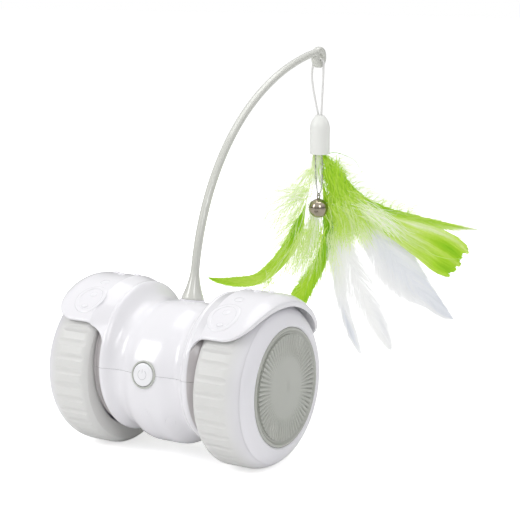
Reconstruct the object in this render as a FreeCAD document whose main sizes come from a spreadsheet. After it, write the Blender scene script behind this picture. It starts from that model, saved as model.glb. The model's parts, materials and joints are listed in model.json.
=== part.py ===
"""Remote control cat toy: a two-wheeled robot with a wand that dangles feathers and a bell.

Frame: +Z up, +X along the axle to the right wheel, front at -Y, origin on the floor below
the middle of the axle. Pieces that the body carries are drawn about the axle with the body
upright, and then lean back with it. Lengths are in millimetres.
"""
import FreeCAD
import Part
import Sketcher
import math
import os
import re

V = FreeCAD.Vector
UP = V(0, 0, 1)
ALONG = V(1, 0, 0)
os.makedirs("parts", exist_ok=True)
doc = FreeCAD.newDocument("cat_toy")

# Driving dimensions
SIZES = {
    "wheel_radius": 40.0,       # axle height and tread radius
    "body_lean": 10.0,          # degrees that the body leans back about the axle
    "running_gap": 0.05,        # radial clearance of a turning or sliding fit
    "seam_gap": 0.12,           # between the two shells
    "slack": 0.3,               # between neighbours that only pass each other
    "shell_wall": 2.2,
    "middle_r": 34.5,           # shell radius in the middle of the body
    "crown_x": 8.5,
    "crown_drop": 0.4,          # how far each section is smaller than the middle
    "slope_x": 12.0,
    "slope_lift": 0.4,
    "slope_drop": 1.6,
    "waist_x": 15.5,
    "waist_lift": 1.4,
    "waist_drop": 2.5,
    "flare_x": 19.5,
    "flare_lift": 3.3,
    "flare_drop": 1.1,
    "rim_x": 24.5,              # where the shell is widest, beside the wheel
    "rim_lift": 5.0,
    "fender_step": 2.0,         # from the top of the shell's rim up to the fender
    "drum_x": 29.6,             # outer face of the end wall
    "drum_step": 2.5,
    "end_wall": 1.8,
    "tyre_clearance": 1.5,      # from the tread to the fender
    "fender_wall": 2.0,
    "fender_flat_x": 49.5,      # where the fender starts to turn down
    "fender_turn_r": 11.0,
    "fender_edge_x": 58.2,
    "fender_foot_z": 20.8,      # height of the fender's lower edge above the axle
    "fender_foot_x": 42.2,
    "fender_foot_r": 10.0,
    "fender_flare": 7.0,        # run from the shell's rim out to the fender
    "fender_knee_r": 13.0,
    "fender_knee_turn": 70.0,   # degrees
    "fender_side_r": 51.0,
    "edge_round": 0.8,
    "shaft_r": 1.5,
    "bush_r": 4.0,
    "bush_length": 3.7,
    "collar_r": 4.6,
    "hub_start_x": 32.0,        # inner end of the wheel's hub
    "hub_end_x": 50.2,
    "hub_r": 5.0,
    "web_x": 41.0,
    "web_thickness": 2.0,
    "tyre_x": 30.15,            # inner face of the tyre
    "tyre_flange": 1.5,         # the tyre's side wall, in front of the rim's barrel
    "tyre_flange_depth": 7.4,
    "tyre_wall": 2.2,
    "barrel_wall": 2.0,
    "tyre_width": 24.0,
    "tyre_edge_drop": 2.4,
    "tread_depth": 0.5,
    "tread_bar": 3.5,           # width of a bar's flat top
    "tread_count": 36,
    "rim_face_x": 57.8,
    "cover_lip": 1.1,
    "seat_x": 49.0,             # where the rim's seat for the tyre narrows
    "seat_drop": 3.0,
    "shoulder_drop": 1.36,
    "cover_r": 28.4,
    "cover_back_x": 55.5,
    "cover_disc": 1.4,
    "cover_dome": 0.75,
    "rib_count": 64,
    "rib_inner_r": 12.0,
    "cover_border": 3.2,
    "gear_step": 0.5,           # gear module
    "pressure_angle": 28.0,
    "tooth_thinning": 0.06,     # taken off each tooth for backlash
    "pinion_teeth": 10,
    "large_teeth": 36,
    "output_teeth": 40,
    "pin_r": 0.75,
    "plate_x": 16.0,            # inner face of the gear plate
    "plate_thickness": 1.2,
    "first_face": 2.1,          # face widths of the gears
    "second_face": 2.2,
    "output_face": 3.2,
    "cover_plate_r": 23.4,
    "motor_length": 15.0,
    "motor_width": 12.0,
    "motor_height": 10.0,
    "motor_shaft_r": 0.5,
    "motor_y": 4.4,
    "motor_z": 7.3,
    "post_r": 1.6,
    "cover_screw_r": 0.7,
    "cell_r": 7.0,
    "cell_length": 50.0,
    "cell_y": 4.0,
    "cell_z": -18.2,
    "tray_wall": 0.8,
    "ballast_half": 15.3,
    "ballast_front": 20.9,
    "ballast_rear": 20.9,
    "ballast_top": -11.5,
    "board_z": -9.8,
    "board_thickness": 1.2,
    "board_half": 14.5,
    "board_front": 19.0,
    "board_back": 20.0,
    "board_screw_x": 13.0,
    "board_screw_front": 14.0,
    "board_screw_back": 16.0,
    "board_post_r": 1.45,
    "tongue_half": 5.0,
    "tongue_inset": 4.2,        # from the shell's outside
    "socket_width": 7.5,
    "socket_height": 2.6,
    "socket_depth": 7.3,
    "socket_inset": 1.7,
    "shell_screw_x": 11.0,
    "shell_screw_y": 25.0,
    "shell_boss_r": 2.6,
    "shell_screw_r": 1.15,
    "screw_well_r": 2.4,
    "screw_well_top": -8.0,
    "well_plug_top": -16.0,     # inner end of the plugs that close the screw wells
    "screw_grip": 14.0,
    "button_r": 5.5,
    "button_travel": 0.8,
    "ring_bore_r": 5.8,
    "ring_tube_r": 6.2,
    "ring_lip_r": 6.6,
    "switch_depth": 8.5,        # from the shell's front to the switch board
    "switch_board_half": 7.0,
    "switch_size": 6.0,
    "plug_r": 3.0,
    "plug_length": 14.0,
    "wand_boss_r": 5.2,
    "wand_pad_r": 6.0,
    "pad_rise": 0.5,
    "wand_foot_r": 5.5,
    "wand_foot_height": 21.0,
    "wand_y": 1.5,
    "wand_low_r": 2.1,
    "wand_tip_r": 1.9,
    "wand_end_y": 102.1,        # end of the rod's centre line, in the upright body
    "wand_end_z": 168.3,
    "wand_end_angle": 72.5,     # degrees from upright at the end
    "wand_start_pull": 59.3,    # how far the rod keeps its first direction
    "wand_end_pull": 60.7,
    "eyelet_ahead": 2.7,        # eyelet centre beyond the rod's end
    "eyelet_drop": 2.6,
    "eyelet_r": 5.7,
    "eyelet_hole_r": 2.0,
    "eyelet_thickness": 4.0,
    "string_r": 0.6,
    "cap_x": 1.0,
    "cap_drop": 31.1,           # from the eyelet's centre to the cap's top
    "cap_length": 21.4,
    "cap_r": 5.5,
    "cap_bore_r": 4.35,
    "cap_hole_r": 2.1,
    "feather_plug_length": 9.0,
    "feather_plug_rise": 1.5,   # the plug's face above the cap's mouth
    "bell_r": 5.3,
    "bell_wall": 0.5,
    "bell_drop": 29.9,          # from the cap's mouth to the bell's centre
    "bell_x": 0.75,
    "bell_ahead": 0.5,
    "shank_r": 1.5,
    "shank_wire_r": 0.35,
    "bell_cord_r": 0.4,
    "pellet_r": 1.6,
    "feather_turn": 31.3,       # degrees that the feathers' fan is turned about the vertical
    "feather_thickness": 0.8,
}

# Sizes that follow from those above
FOLLOWING = {
    "crown_r": "middle_r - crown_drop",
    "slope_r": "middle_r - slope_drop",
    "waist_r": "middle_r - waist_drop",
    "flare_r": "middle_r - flare_drop",
    "fender_r": "wheel_radius + tyre_clearance + fender_wall",
    "rim_r": "fender_r - fender_step - rim_lift",
    "drum_r": "rim_r - drum_step",
    "barrel_r": "wheel_radius - tyre_wall",
    "tyre_edge_r": "wheel_radius - tyre_edge_drop",
    "barrel_x": "tyre_x + tyre_flange + running_gap",
    "tyre_end_x": "tyre_x + tyre_width",
    "tyre_flange_r": "barrel_r - tyre_flange_depth",
    "seat_end_r": "barrel_r - seat_drop",
    "rim_shoulder_r": "barrel_r - shoulder_drop",
    "rim_lip_r": "cover_r + cover_lip",
    "rib_outer_r": "cover_r - cover_border",
    "tongue_back": "middle_r - tongue_inset",
    "socket_back": "middle_r - socket_inset",
    "socket_front": "socket_back - socket_depth",
    "switch_board_y": "switch_depth - middle_r",
    "wand_pad_z": "middle_r + pad_rise",
}
CELLS = dict(SIZES, **{name: "=" + source for name, source in FOLLOWING.items()})
sheet = doc.addObject("Spreadsheet::Sheet", "sizes")
for row, (name, content) in enumerate(CELLS.items(), 1):
    sheet.set("A%d" % row, name.replace("_", " "))
    sheet.set("B%d" % row, str(content))
    sheet.setAlias("B%d" % row, name)
doc.recompute()

PIECES = []


def bound(expression):
    """Write an expression for the document: a bare size name becomes a cell of the sheet."""
    def cell(match):
        word = match.group(0)
        return "sizes." + word if word in CELLS else word
    return re.sub(r"[a-z][a-z_]*", cell, str(expression))


def size(expression):
    """The number that an expression of size names has now."""
    found = sheet.evalExpression(bound(expression).replace("sizes.", ""))
    return float(getattr(found, "Value", found))


def bind(item, prop, expression):
    item.setExpression(prop, bound(expression))


def piece(item, label):
    """Name a finished piece, which also names its file."""
    item.Label = label
    PIECES.append(item)
    return item


def place(item, x=0, y=0, z=0):
    """Put an item at a point given by expressions."""
    bind(item, "Placement.Base.x", x)
    bind(item, "Placement.Base.y", y)
    bind(item, "Placement.Base.z", z)
    return item


def on_axle(item):
    """Raise an item that was drawn about the axle to the axle's height."""
    return place(item, z="wheel_radius")


def lean(item, x=0, y=0, z=0):
    """Set an item that was drawn in the upright body on the axle, leaning back with the body."""
    item.Placement = FreeCAD.Placement(V(0, 0, 0), FreeCAD.Rotation(ALONG, -1))
    bind(item, "Placement.Rotation.Angle", "-body_lean")
    bind(item, "Placement.Base.x", x)
    bind(item, "Placement.Base.y", "(%s) * cos(body_lean) + (%s) * sin(body_lean)" % (y, z))
    bind(item, "Placement.Base.z",
         "wheel_radius - (%s) * sin(body_lean) + (%s) * cos(body_lean)" % (y, z))
    return item


def leaning(shape):
    """The same for a shape that a formula made."""
    moved = shape.copy()
    moved.rotate(V(0, 0, 0), ALONG, -size("body_lean"))
    moved.translate(V(0, 0, size("wheel_radius")))
    return moved


def formula(label, shape):
    """A piece whose shape comes from a formula."""
    return piece(made(label, shape), label)


# Turned pieces
TURNED = {"X": ("XZ_Plane", "H_Axis"), "Y": ("XY_Plane", "V_Axis"), "Z": ("XZ_Plane", "V_Axis")}


def turned(label, axis, outline):
    """A body of revolution. The outline's points are (along the axis, radius[, arc radius]).

    The third value makes the stretch to the next point an arc of that radius, which bulges
    out of the outline if it is positive, and into it if it is negative.
    """
    plane_role, axis_name = TURNED[axis]
    body = doc.addObject("PartDesign::Body", label)
    sketch = body.newObject("Sketcher::SketchObject", label + "_outline")
    plane = [item for item in body.Origin.OriginFeatures if item.Role == plane_role][0]
    sketch.AttachmentSupport = (plane, [""])
    sketch.MapMode = "FlatFace"
    points = []
    for point in outline:
        along, across = point[0], point[1]
        first, second = (along, across) if axis == "X" else (across, along)
        points.append((first, second, point[2] if len(point) > 2 else None))
    spots = [V(size(first), size(second), 0) for first, second, _ in points]
    count = len(points)
    # An arc with a positive radius bulges out of the outline, whichever way the outline runs
    area = sum(spots[k - 1].x * spots[k].y - spots[k].x * spots[k - 1].y for k in range(count))
    starts = []
    for k in range(count):
        here, there = spots[k], spots[(k + 1) % count]
        arc = points[k][2]
        if arc is None:
            sketch.addGeometry(Part.LineSegment(here, there), False)
            starts.append((k, 1, 2))
            continue
        radius = size(arc)
        outwards = math.copysign(1, radius * area)
        chord = there - here
        side = V(chord.y, -chord.x, 0).normalize() * outwards
        depth = abs(radius) - math.sqrt(radius ** 2 - (chord.Length / 2) ** 2)
        through = here + chord * 0.5 + side * depth
        sketch.addGeometry(Part.Arc(here, through, there), False)
        centre = here + chord * 0.5 - side * (abs(radius) - depth)
        # An arc of a sketch always runs counter-clockwise, so its ends may be the other way round
        turn = (here - centre).cross(there - centre).z
        starts.append((k, 1, 2) if turn > 0 else (k, 2, 1))
        sketch.addConstraint(Sketcher.Constraint("Radius", k, abs(radius)))
        sketch.setExpression("Constraints[%d]" % (sketch.ConstraintCount - 1),
                             bound("abs(%s)" % arc))
    for k in range(count):
        following = (k + 1) % count
        sketch.addConstraint(Sketcher.Constraint(
            "Coincident", starts[k][0], starts[k][2], starts[following][0], starts[following][1]))
    for k, (first, second, _) in enumerate(points):
        for kind, spot, expression in (("DistanceX", spots[k].x, first),
                                       ("DistanceY", spots[k].y, second)):
            sketch.addConstraint(Sketcher.Constraint(
                kind, -1, 1, starts[k][0], starts[k][1], spot))
            sketch.setExpression("Constraints[%d]" % (sketch.ConstraintCount - 1),
                                 bound(expression))
    solid = body.newObject("PartDesign::Revolution", label + "_turned")
    solid.Profile = sketch
    solid.ReferenceAxis = (sketch, [axis_name])
    solid.Angle = 360.0
    sketch.Visibility = False
    return body


# Blocks, rods and what is cut from or joined to them
TURN_TO = {"X": FreeCAD.Rotation(V(0, 1, 0), 90), "Y": FreeCAD.Rotation(V(1, 0, 0), -90),
           "Z": FreeCAD.Rotation()}


def block(x, y, z):
    """A box between two stations on each axis."""
    item = doc.addObject("Part::Box", "block")
    for prop, (low, high) in (("Length", x), ("Width", y), ("Height", z)):
        bind(item, prop, "(%s) - (%s)" % (high, low))
    return place(item, x[0], y[0], z[0])


def rod(axis, radius, start, end, at=(0, 0)):
    """A cylinder along an axis between two stations, at a point of the plane across it."""
    item = doc.addObject("Part::Cylinder", "rod")
    item.Placement = FreeCAD.Placement(V(0, 0, 0), TURN_TO[axis])
    bind(item, "Radius", radius)
    bind(item, "Height", "(%s) - (%s)" % (end, start))
    corner = {"X": (start, at[0], at[1]), "Y": (at[0], start, at[1]), "Z": (at[0], at[1], start)}
    return place(item, *corner[axis])


def joined(*items):
    if len(items) == 1:
        return items[0]
    item = doc.addObject("Part::MultiFuse", "joined")
    item.Shapes = list(items)
    item.Refine = False
    return item


def cut(base, *tools):
    item = doc.addObject("Part::Cut", "cut")
    item.Base = base
    item.Tool = joined(*tools)
    item.Refine = False
    return item


def shared(first, second):
    item = doc.addObject("Part::Common", "shared")
    item.Base = first
    item.Tool = second
    item.Refine = False
    return item


def group(*items):
    item = doc.addObject("Part::Compound", "group")
    item.Links = list(items)
    return item


def span(side, near, far):
    """Two stations on the X axis, near and far from the middle, in rising order."""
    return (near, far) if side > 0 else ("-(%s)" % far, "-(%s)" % near)


def for_side(outline, side):
    """The outline of a turned piece on the right, or its mirror image on the left."""
    if side > 0:
        return outline
    return [("-(%s)" % point[0],) + tuple(point[1:]) for point in outline]


SIDES = (("right", 1), ("left", -1))


# The body's shape: round sections along the axle, each with its centre's lift
STATIONS = (("0", "0", "middle_r"), ("crown_x", "0", "crown_r"),
            ("slope_x", "slope_lift", "slope_r"), ("waist_x", "waist_lift", "waist_r"),
            ("flare_x", "flare_lift", "flare_r"), ("rim_x", "rim_lift", "rim_r"))
RIM_SHARE = "(rim_x - shell_wall - flare_x) / (rim_x - flare_x)"
INNER_RIM = ("rim_x - shell_wall", "flare_lift + (rim_lift - flare_lift) * " + RIM_SHARE,
             "flare_r + (rim_r - flare_r) * " + RIM_SHARE)
BEYOND = 60


def section(x, lift, radius):
    item = doc.addObject("Part::Circle", "section")
    item.Placement = FreeCAD.Placement(V(0, 0, 0), TURN_TO["X"])
    bind(item, "Radius", radius)
    return place(item, x, 0, lift)


def lofted(stations, wall="0"):
    """A closed form through the stations on both sides of the middle."""
    half = [(x, lift, "%s - (%s)" % (radius, wall)) for x, lift, radius in stations]
    both = [("-(%s)" % x, lift, radius) for x, lift, radius in reversed(half[1:])] + half
    item = doc.addObject("Part::Loft", "lofted")
    item.Sections = [section(*station) for station in both]
    item.Solid = True
    return item


outer = lofted(STATIONS + (("drum_x", "rim_lift", "drum_r"),))
drum_bores = [rod("X", "drum_r - shell_wall",
                  *span(side, "rim_x - shell_wall", "drum_x - end_wall"), at=(0, "rim_lift"))
              for _, side in SIDES]
hollow = joined(lofted(STATIONS[:-1] + (INNER_RIM,), "shell_wall"), *drum_bores)
ACROSS = (-BEYOND, BEYOND)


def fender_shape():
    """A band over the tyre that turns down at its outer edge, trimmed to its front outline."""
    flat_r, wall = size("fender_r"), size("fender_wall")
    flat_x, turn_r, edge_x = size("fender_flat_x"), size("fender_turn_r"), size("fender_edge_x")
    root_x, root_lift, root_r = size("rim_x") - 0.2, size("rim_lift"), size("rim_r") - 0.2
    start_x = size("rim_x") + size("fender_flare")
    turn_z = flat_r - turn_r

    def turned_down(radius):
        """Points on the turned edge's arc: its start, middle and end."""
        last = math.asin((edge_x - flat_x) / turn_r)
        return [V(flat_x + radius * math.sin(angle), 0, turn_z + radius * math.cos(angle))
                for angle in (0, last / 2, last)]

    high, low = turned_down(turn_r), turned_down(turn_r - wall)
    edges = [Part.makeLine(V(start_x, 0, flat_r), high[0]), Part.Arc(*high).toShape(),
             Part.makeLine(high[2], low[2]), Part.Arc(low[2], low[1], low[0]).toShape(),
             Part.makeLine(low[0], V(start_x, 0, flat_r - wall)),
             Part.makeLine(V(start_x, 0, flat_r - wall), V(start_x, 0, flat_r))]
    band = Part.Face(Part.Wire(edges)).revolve(V(0, 0, 0), ALONG, 360)

    def flare(inset):
        rings = [Part.Wire(Part.Circle(V(x, 0, lift), ALONG, radius - inset).toShape())
                 for x, lift, radius in ((root_x, root_lift, root_r), (start_x, 0, flat_r))]
        return Part.makeLoft(rings, True, True)

    ring = flare(0).cut(flare(wall)).fuse(band).removeSplitter()

    # Front outline of the opening below the fender: rounded foot, straight, knee, side
    foot_x, foot_r, foot_z = size("rim_x"), size("fender_foot_r"), size("fender_foot_z")
    knee_x, knee_r, side_r = size("fender_foot_x"), size("fender_knee_r"), size("fender_side_r")
    knee = math.radians(size("fender_knee_turn"))

    def on_arc(centre, radius, angle):
        return V(centre.x + radius * math.cos(angle), 0, centre.z + radius * math.sin(angle))

    foot_c = V(foot_x + foot_r, 0, foot_z - foot_r)
    knee_c = V(knee_x, 0, foot_z + knee_r)
    knee_end = on_arc(knee_c, knee_r, knee - math.pi / 2)
    side_c = on_arc(knee_end, side_r, knee + math.pi / 2)
    side_end = on_arc(side_c, side_r, 0)
    corners = [V(BEYOND + 20, 0, side_end.z), V(BEYOND + 20, 0, -BEYOND), V(foot_x, 0, -BEYOND)]
    outline = [
        Part.makeLine(corners[2], on_arc(foot_c, foot_r, math.pi)),
        Part.Arc(*[on_arc(foot_c, foot_r, math.radians(a)) for a in (180, 135, 90)]).toShape(),
        Part.makeLine(on_arc(foot_c, foot_r, math.pi / 2), V(knee_x, 0, foot_z)),
        Part.Arc(*[on_arc(knee_c, knee_r, share * knee - math.pi / 2)
                   for share in (0, 0.5, 1)]).toShape(),
        Part.Arc(*[on_arc(side_c, side_r, (knee - math.pi / 2) * share)
                   for share in (1, 0.5, 0)]).toShape(),
        Part.makeLine(side_end, corners[0]), Part.makeLine(corners[0], corners[1]),
        Part.makeLine(corners[1], corners[2])]
    prism = Part.Face(Part.Wire(outline)).extrude(V(0, 4 * BEYOND, 0))
    prism.translate(V(0, -2 * BEYOND, 0))
    upper = Part.makeBox(4 * BEYOND, 4 * BEYOND, 2 * BEYOND, V(0, -2 * BEYOND, size("seam_gap / 2")))
    shape = ring.cut(prism).common(upper)

    # Round the outer edge of the trimmed outline
    rim = []
    for edge in shape.Edges:
        on_edge = True
        for point in edge.discretize(5):
            radius = math.hypot(point.y, point.z)
            if point.x < start_x - 0.01 or point.z < 0.5:
                on_edge = False
                break
            reach = flat_r
            if point.x > flat_x:
                reach = turn_z + math.sqrt(max(turn_r ** 2 - (point.x - flat_x) ** 2, 0))
            if abs(radius - reach) > 0.01 or prism.distToShape(Part.Vertex(point))[0] > 0.01:
                on_edge = False
                break
        if on_edge:
            rim.append(edge)
    return shape.makeFillet(size("edge_round"), rim)


def made(name, shape):
    """A document item for a shape that a formula made."""
    item = doc.addObject("Part::Feature", name)
    item.Shape = shape
    return item


# What both shells share: screw bosses, the bushes' seats and the button's hole
SCREW_SPOTS = [("%d * shell_screw_x" % a, "%d * shell_screw_y" % b)
               for a in (-1, 1) for b in (-1, 1)]
BOARD_SPOTS = [("%d * board_screw_x" % a, y) for a in (-1, 1)
               for y in ("-board_screw_front", "board_screw_back")]
SOCKET_FLOOR = "wand_pad_z - plug_length - slack"


def bush_seats():
    return rod("X", "bush_r + running_gap", "-drum_x - 1", "drum_x + 1")


def button_hole():
    return rod("Y", "ring_tube_r + 0.1", -BEYOND, "switch_board_y - 2")


def make_top_shell():
    upper = block(ACROSS, ACROSS, ("seam_gap / 2", BEYOND))
    bosses = [rod("Z", "shell_boss_r", "seam_gap / 2", BEYOND, spot) for spot in SCREW_SPOTS]
    bosses.append(rod("Z", "wand_boss_r", "wand_pad_z - plug_length - 2", BEYOND, (0, "wand_y")))
    wall = cut(shared(outer, upper), cut(hollow, *bosses))
    pad = rod("Z", "wand_pad_r", "middle_r - shell_wall", "wand_pad_z", (0, "wand_y"))
    right = fender_shape()
    left = right.mirror(V(0, 0, 0), ALONG)
    body = joined(wall, pad, made("fender", right), made("fender", left))
    pilots = [rod("Z", "shell_screw_r + running_gap", "-1", "screw_well_top + screw_grip + 0.5", spot)
              for spot in SCREW_SPOTS]
    socket = rod("Z", "plug_r + running_gap", SOCKET_FLOOR, BEYOND, (0, "wand_y"))
    return lean(piece(cut(body, bush_seats(), button_hole(), socket, *pilots), "top_shell"))


def make_bottom_shell():
    lower = block(ACROSS, ACROSS, (-BEYOND, "-seam_gap / 2"))
    stems = [rod("Z", "shell_boss_r", "screw_well_top", "-seam_gap / 2", spot)
             for spot in SCREW_SPOTS]
    stems += [rod("Z", "screw_well_r + 1.1", -BEYOND, "screw_well_top + 1.2", spot)
              for spot in SCREW_SPOTS]
    stems += [rod("Z", "board_post_r", -BEYOND, "board_z", spot) for spot in BOARD_SPOTS]
    rails = [block(span(side, "switch_board_half - 1", "switch_board_half + 1"),
                   ("switch_board_y - 1.2", "switch_board_y + 2.2"), (-BEYOND, "-seam_gap - slack"))
             for _, side in SIDES]
    body = cut(shared(outer, lower), cut(hollow, *(stems + rails)))
    slot = block(("-switch_board_half - 0.15", "switch_board_half + 0.15"),
                 ("switch_board_y - 0.15", "switch_board_y + 1.15"),
                 ("-switch_board_half + 0.35", BEYOND))
    wells = [rod("Z", "screw_well_r", -BEYOND, "screw_well_top", spot) for spot in SCREW_SPOTS]
    holes = [rod("Z", "shell_screw_r + running_gap", -BEYOND, BEYOND, spot)
             for spot in SCREW_SPOTS]
    pilots = [rod("Z", "0.85", "board_z - 7", BEYOND, spot) for spot in BOARD_SPOTS]
    port = block(("-socket_width / 2 - 0.35", "socket_width / 2 + 0.35"),
                 ("socket_back - 4", BEYOND),
                 ("board_z + board_thickness - 0.35",
                  "board_z + board_thickness + socket_height + 0.45"))
    return lean(piece(cut(body, bush_seats(), button_hole(), slot, port, *(wells + holes + pilots)),
                      "bottom_shell"))


def make_screw_plugs():
    """Plugs flush with the shell that close the four screw wells."""
    plugs = [rod("Z", "screw_well_r - running_gap", -BEYOND, "well_plug_top", spot)
             for spot in SCREW_SPOTS]
    lean(piece(group(*[shared(plug, outer) for plug in plugs]), "screw_plugs"))


make_top_shell()
make_bottom_shell()
make_screw_plugs()


# Power button, in a ring in the middle of the front
FACE = "-middle_r"


def make_button():
    ring = turned("ring", "Y", [
        (FACE + " - 0.6", "ring_bore_r + 0.1"), (FACE + " - 0.6", "ring_lip_r - 0.3", 0.35),
        (FACE + " - 0.3", "ring_lip_r"), (FACE + " + 0.05", "ring_lip_r"),
        (FACE + " + 0.05", "ring_tube_r"), (FACE + " + shell_wall + 0.7", "ring_tube_r"),
        (FACE + " + shell_wall + 0.7", "ring_bore_r"), (FACE + " - 0.5", "ring_bore_r")])
    lean(piece(ring, "button_ring"))
    flange = FACE + " + shell_wall + 0.7 + slack / 2"
    cap = turned("button", "Y", [
        (FACE + " - 1.45", "0", 20), (FACE + " - 0.95", "button_r - 0.5", 0.6),
        (FACE + " - 0.5", "button_r"), (flange, "button_r"), (flange, "ring_tube_r + slack"),
        (flange + " + 0.9", "ring_tube_r + slack"), (flange + " + 0.9", "0")])
    lean(piece(cap, "power_button"))


make_button()


# Wheels
WEB_OUT = "web_x + web_thickness"
SHOULDER_X = "tyre_end_x + running_gap"
RIM = [
    ("barrel_x", "barrel_r"), ("seat_x", "barrel_r"), (SHOULDER_X, "seat_end_r"),
    (SHOULDER_X, "rim_shoulder_r", 12),
    ("rim_face_x", "rim_lip_r"), ("rim_face_x - 0.5", "cover_r + 0.2"),
    ("cover_back_x - 0.1", "cover_r + 0.2"), ("cover_back_x - 0.1", "cover_r - 3"),
    ("cover_back_x - 1.9", "cover_r - 3"), ("cover_back_x - 1.9", "cover_r + 1"),
    ("hub_end_x - 1.2", "barrel_r - barrel_wall"), (WEB_OUT, "barrel_r - barrel_wall"),
    (WEB_OUT, "hub_r"), ("hub_end_x", "hub_r"), ("hub_end_x", "0.95"),
    ("hub_end_x - 1", "0.95"), ("hub_end_x - 1", "shaft_r + running_gap"),
    ("hub_start_x", "shaft_r + running_gap"), ("hub_start_x", "hub_r"), ("web_x", "hub_r"),
    ("web_x", "barrel_r - barrel_wall"), ("barrel_x", "barrel_r - barrel_wall")]


def tyre_shape():
    """A turned band whose tread is cut to flat-topped bars with hollows between them."""
    inner_x, outer_x, flange = size("tyre_x"), size("tyre_end_x"), size("tyre_flange")
    fit, edge_r, top = size("running_gap"), size("tyre_edge_r"), size("wheel_radius")
    bore, end_bore = size("barrel_r") + fit, size("seat_end_r") + fit
    half_turn = math.asin(size("tread_bar") / 2 / top)
    corner_r = top / math.cos(half_turn)
    crown = [V(inner_x, 0, edge_r), V(inner_x + 1.6, 0, top - 0.75), V(inner_x + 3.85, 0, corner_r)]
    slope = [V(outer_x - 9.6, 0, corner_r), V(outer_x - 4, 0, top - 1),
             V(outer_x, 0, size("rim_shoulder_r") + fit)]
    inside = [V(outer_x, 0, end_bore), V(size("seat_x"), 0, bore), V(inner_x + flange, 0, bore),
              V(inner_x + flange, 0, size("tyre_flange_r")), V(inner_x, 0, size("tyre_flange_r"))]
    edges = [Part.Arc(*crown).toShape(), Part.makeLine(crown[2], slope[0]),
             Part.Arc(*slope).toShape()]
    around_inside = [slope[2]] + inside + [crown[0]]
    edges += [Part.makeLine(*ends) for ends in zip(around_inside, around_inside[1:])]
    band = Part.Face(Part.Wire(edges)).revolve(V(0, 0, 0), ALONG, 360)

    def around(radius, angle):
        return V(0, radius * math.sin(angle), -radius * math.cos(angle))

    count = int(size("tread_count"))
    step = 2 * math.pi / count
    outline = []
    for k in range(count):
        start, end, following = k * step - half_turn, k * step + half_turn, (k + 1) * step
        outline.append(Part.makeLine(around(corner_r, start), around(corner_r, end)))
        outline.append(Part.Arc(around(corner_r, end),
                                around(top - size("tread_depth"), (end + following - half_turn) / 2),
                                around(corner_r, following - half_turn)).toShape())
    prism = Part.Face(Part.Wire(outline)).extrude(ALONG * 3 * BEYOND)
    return band.common(prism)


def hub_cover_shape():
    """A disc with a raised rim and a shallow dome, into which its half-round ribs fade."""
    back, face = size("cover_back_x"), size("cover_back_x") + size("cover_disc")
    rim_r, inner, outer_r = size("cover_r"), size("rib_inner_r"), size("rib_outer_r")
    top, dome = size("rim_face_x"), size("cover_dome")
    dome_r = (outer_r ** 2 + dome ** 2) / (2 * dome)
    middle = face + dome - dome_r + math.sqrt(dome_r ** 2 - (outer_r / 2) ** 2)
    edges = [Part.makeLine(V(back, 0, 0), V(back, 0, rim_r)),
             Part.makeLine(V(back, 0, rim_r), V(top - 0.5, 0, rim_r)),
             Part.Arc(V(top - 0.5, 0, rim_r), V(top, 0, rim_r - 0.8),
                      V(top - 0.5, 0, rim_r - 1.7)).toShape(),
             Part.makeLine(V(top - 0.5, 0, rim_r - 1.7), V(face, 0, rim_r - 2.3)),
             Part.makeLine(V(face, 0, rim_r - 2.3), V(face, 0, outer_r)),
             Part.Arc(V(face, 0, outer_r), V(middle, 0, outer_r / 2),
                      V(face + dome, 0, 0)).toShape(),
             Part.makeLine(V(face + dome, 0, 0), V(back, 0, 0))]
    disc = Part.Face(Part.Wire(edges)).revolve(V(0, 0, 0), ALONG, 360)
    count = int(size("rib_count"))
    slope = math.sin(math.pi / count) * 0.94
    start = inner + 0.2
    ribs = []
    for k in range(count):
        angle = 2 * math.pi * k / count
        away = V(0, math.cos(angle), math.sin(angle))
        rib = Part.makeCone(start * slope, outer_r * slope, outer_r - start,
                            V(face, 0, 0) + away * start, away)
        # The rib's seam goes inside the disc, clear of where the two meet
        rib.rotate(V(face, 0, 0), away, 90)
        ribs.append(rib)
    return disc.fuse(ribs)


TYRE = tyre_shape()
HUB_COVER = hub_cover_shape()
for side_name, side in SIDES:
    rim = turned(side_name + "_rim", "X", for_side(RIM, side))
    on_axle(piece(rim, side_name + "_wheel_rim"))
    for label, shape in (("_tyre", TYRE), ("_hub_cover", HUB_COVER)):
        moved = shape.copy() if side > 0 else shape.mirror(V(0, 0, 0), ALONG)
        moved.translate(V(0, 0, size("wheel_radius")))
        formula(side_name + label, moved)
    shaft = turned(side_name + "_shaft", "X", for_side([
        ("plate_x + 0.15", "0"), ("plate_x + 0.15", "shaft_r"), ("hub_end_x - 1.2", "shaft_r"),
        ("hub_end_x - 1.2", "0.85"), ("hub_end_x - 7", "0.85"), ("hub_end_x - 7", "0")], side))
    on_axle(piece(shaft, side_name + "_wheel_shaft"))
    screw = turned(side_name + "_screw", "X", for_side([
        ("hub_end_x - 6", "0"), ("hub_end_x - 6", "0.8"), ("hub_end_x", "0.8"),
        ("hub_end_x", "2.6"), ("hub_end_x + 1", "2.6", 1.2), ("hub_end_x + 1.5", "1.4"),
        ("hub_end_x + 1.5", "0.7"), ("hub_end_x + 0.7", "0.7"), ("hub_end_x + 0.7", "0")], side))
    on_axle(piece(screw, side_name + "_wheel_screw"))
    bush = turned(side_name + "_bush", "X", for_side([
        ("drum_x - bush_length", "shaft_r + running_gap"), ("drum_x - bush_length", "bush_r"),
        ("drum_x + running_gap", "bush_r"), ("drum_x + running_gap", "collar_r"),
        ("hub_start_x - 0.2", "collar_r"), ("hub_start_x - 0.2", "shaft_r + running_gap")], side))
    on_axle(piece(bush, side_name + "_shaft_bush"))


# Drive train: motor pinion, two compound gears and the output gear on each wheel's shaft
def involute(angle):
    return math.tan(angle) - angle


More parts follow.
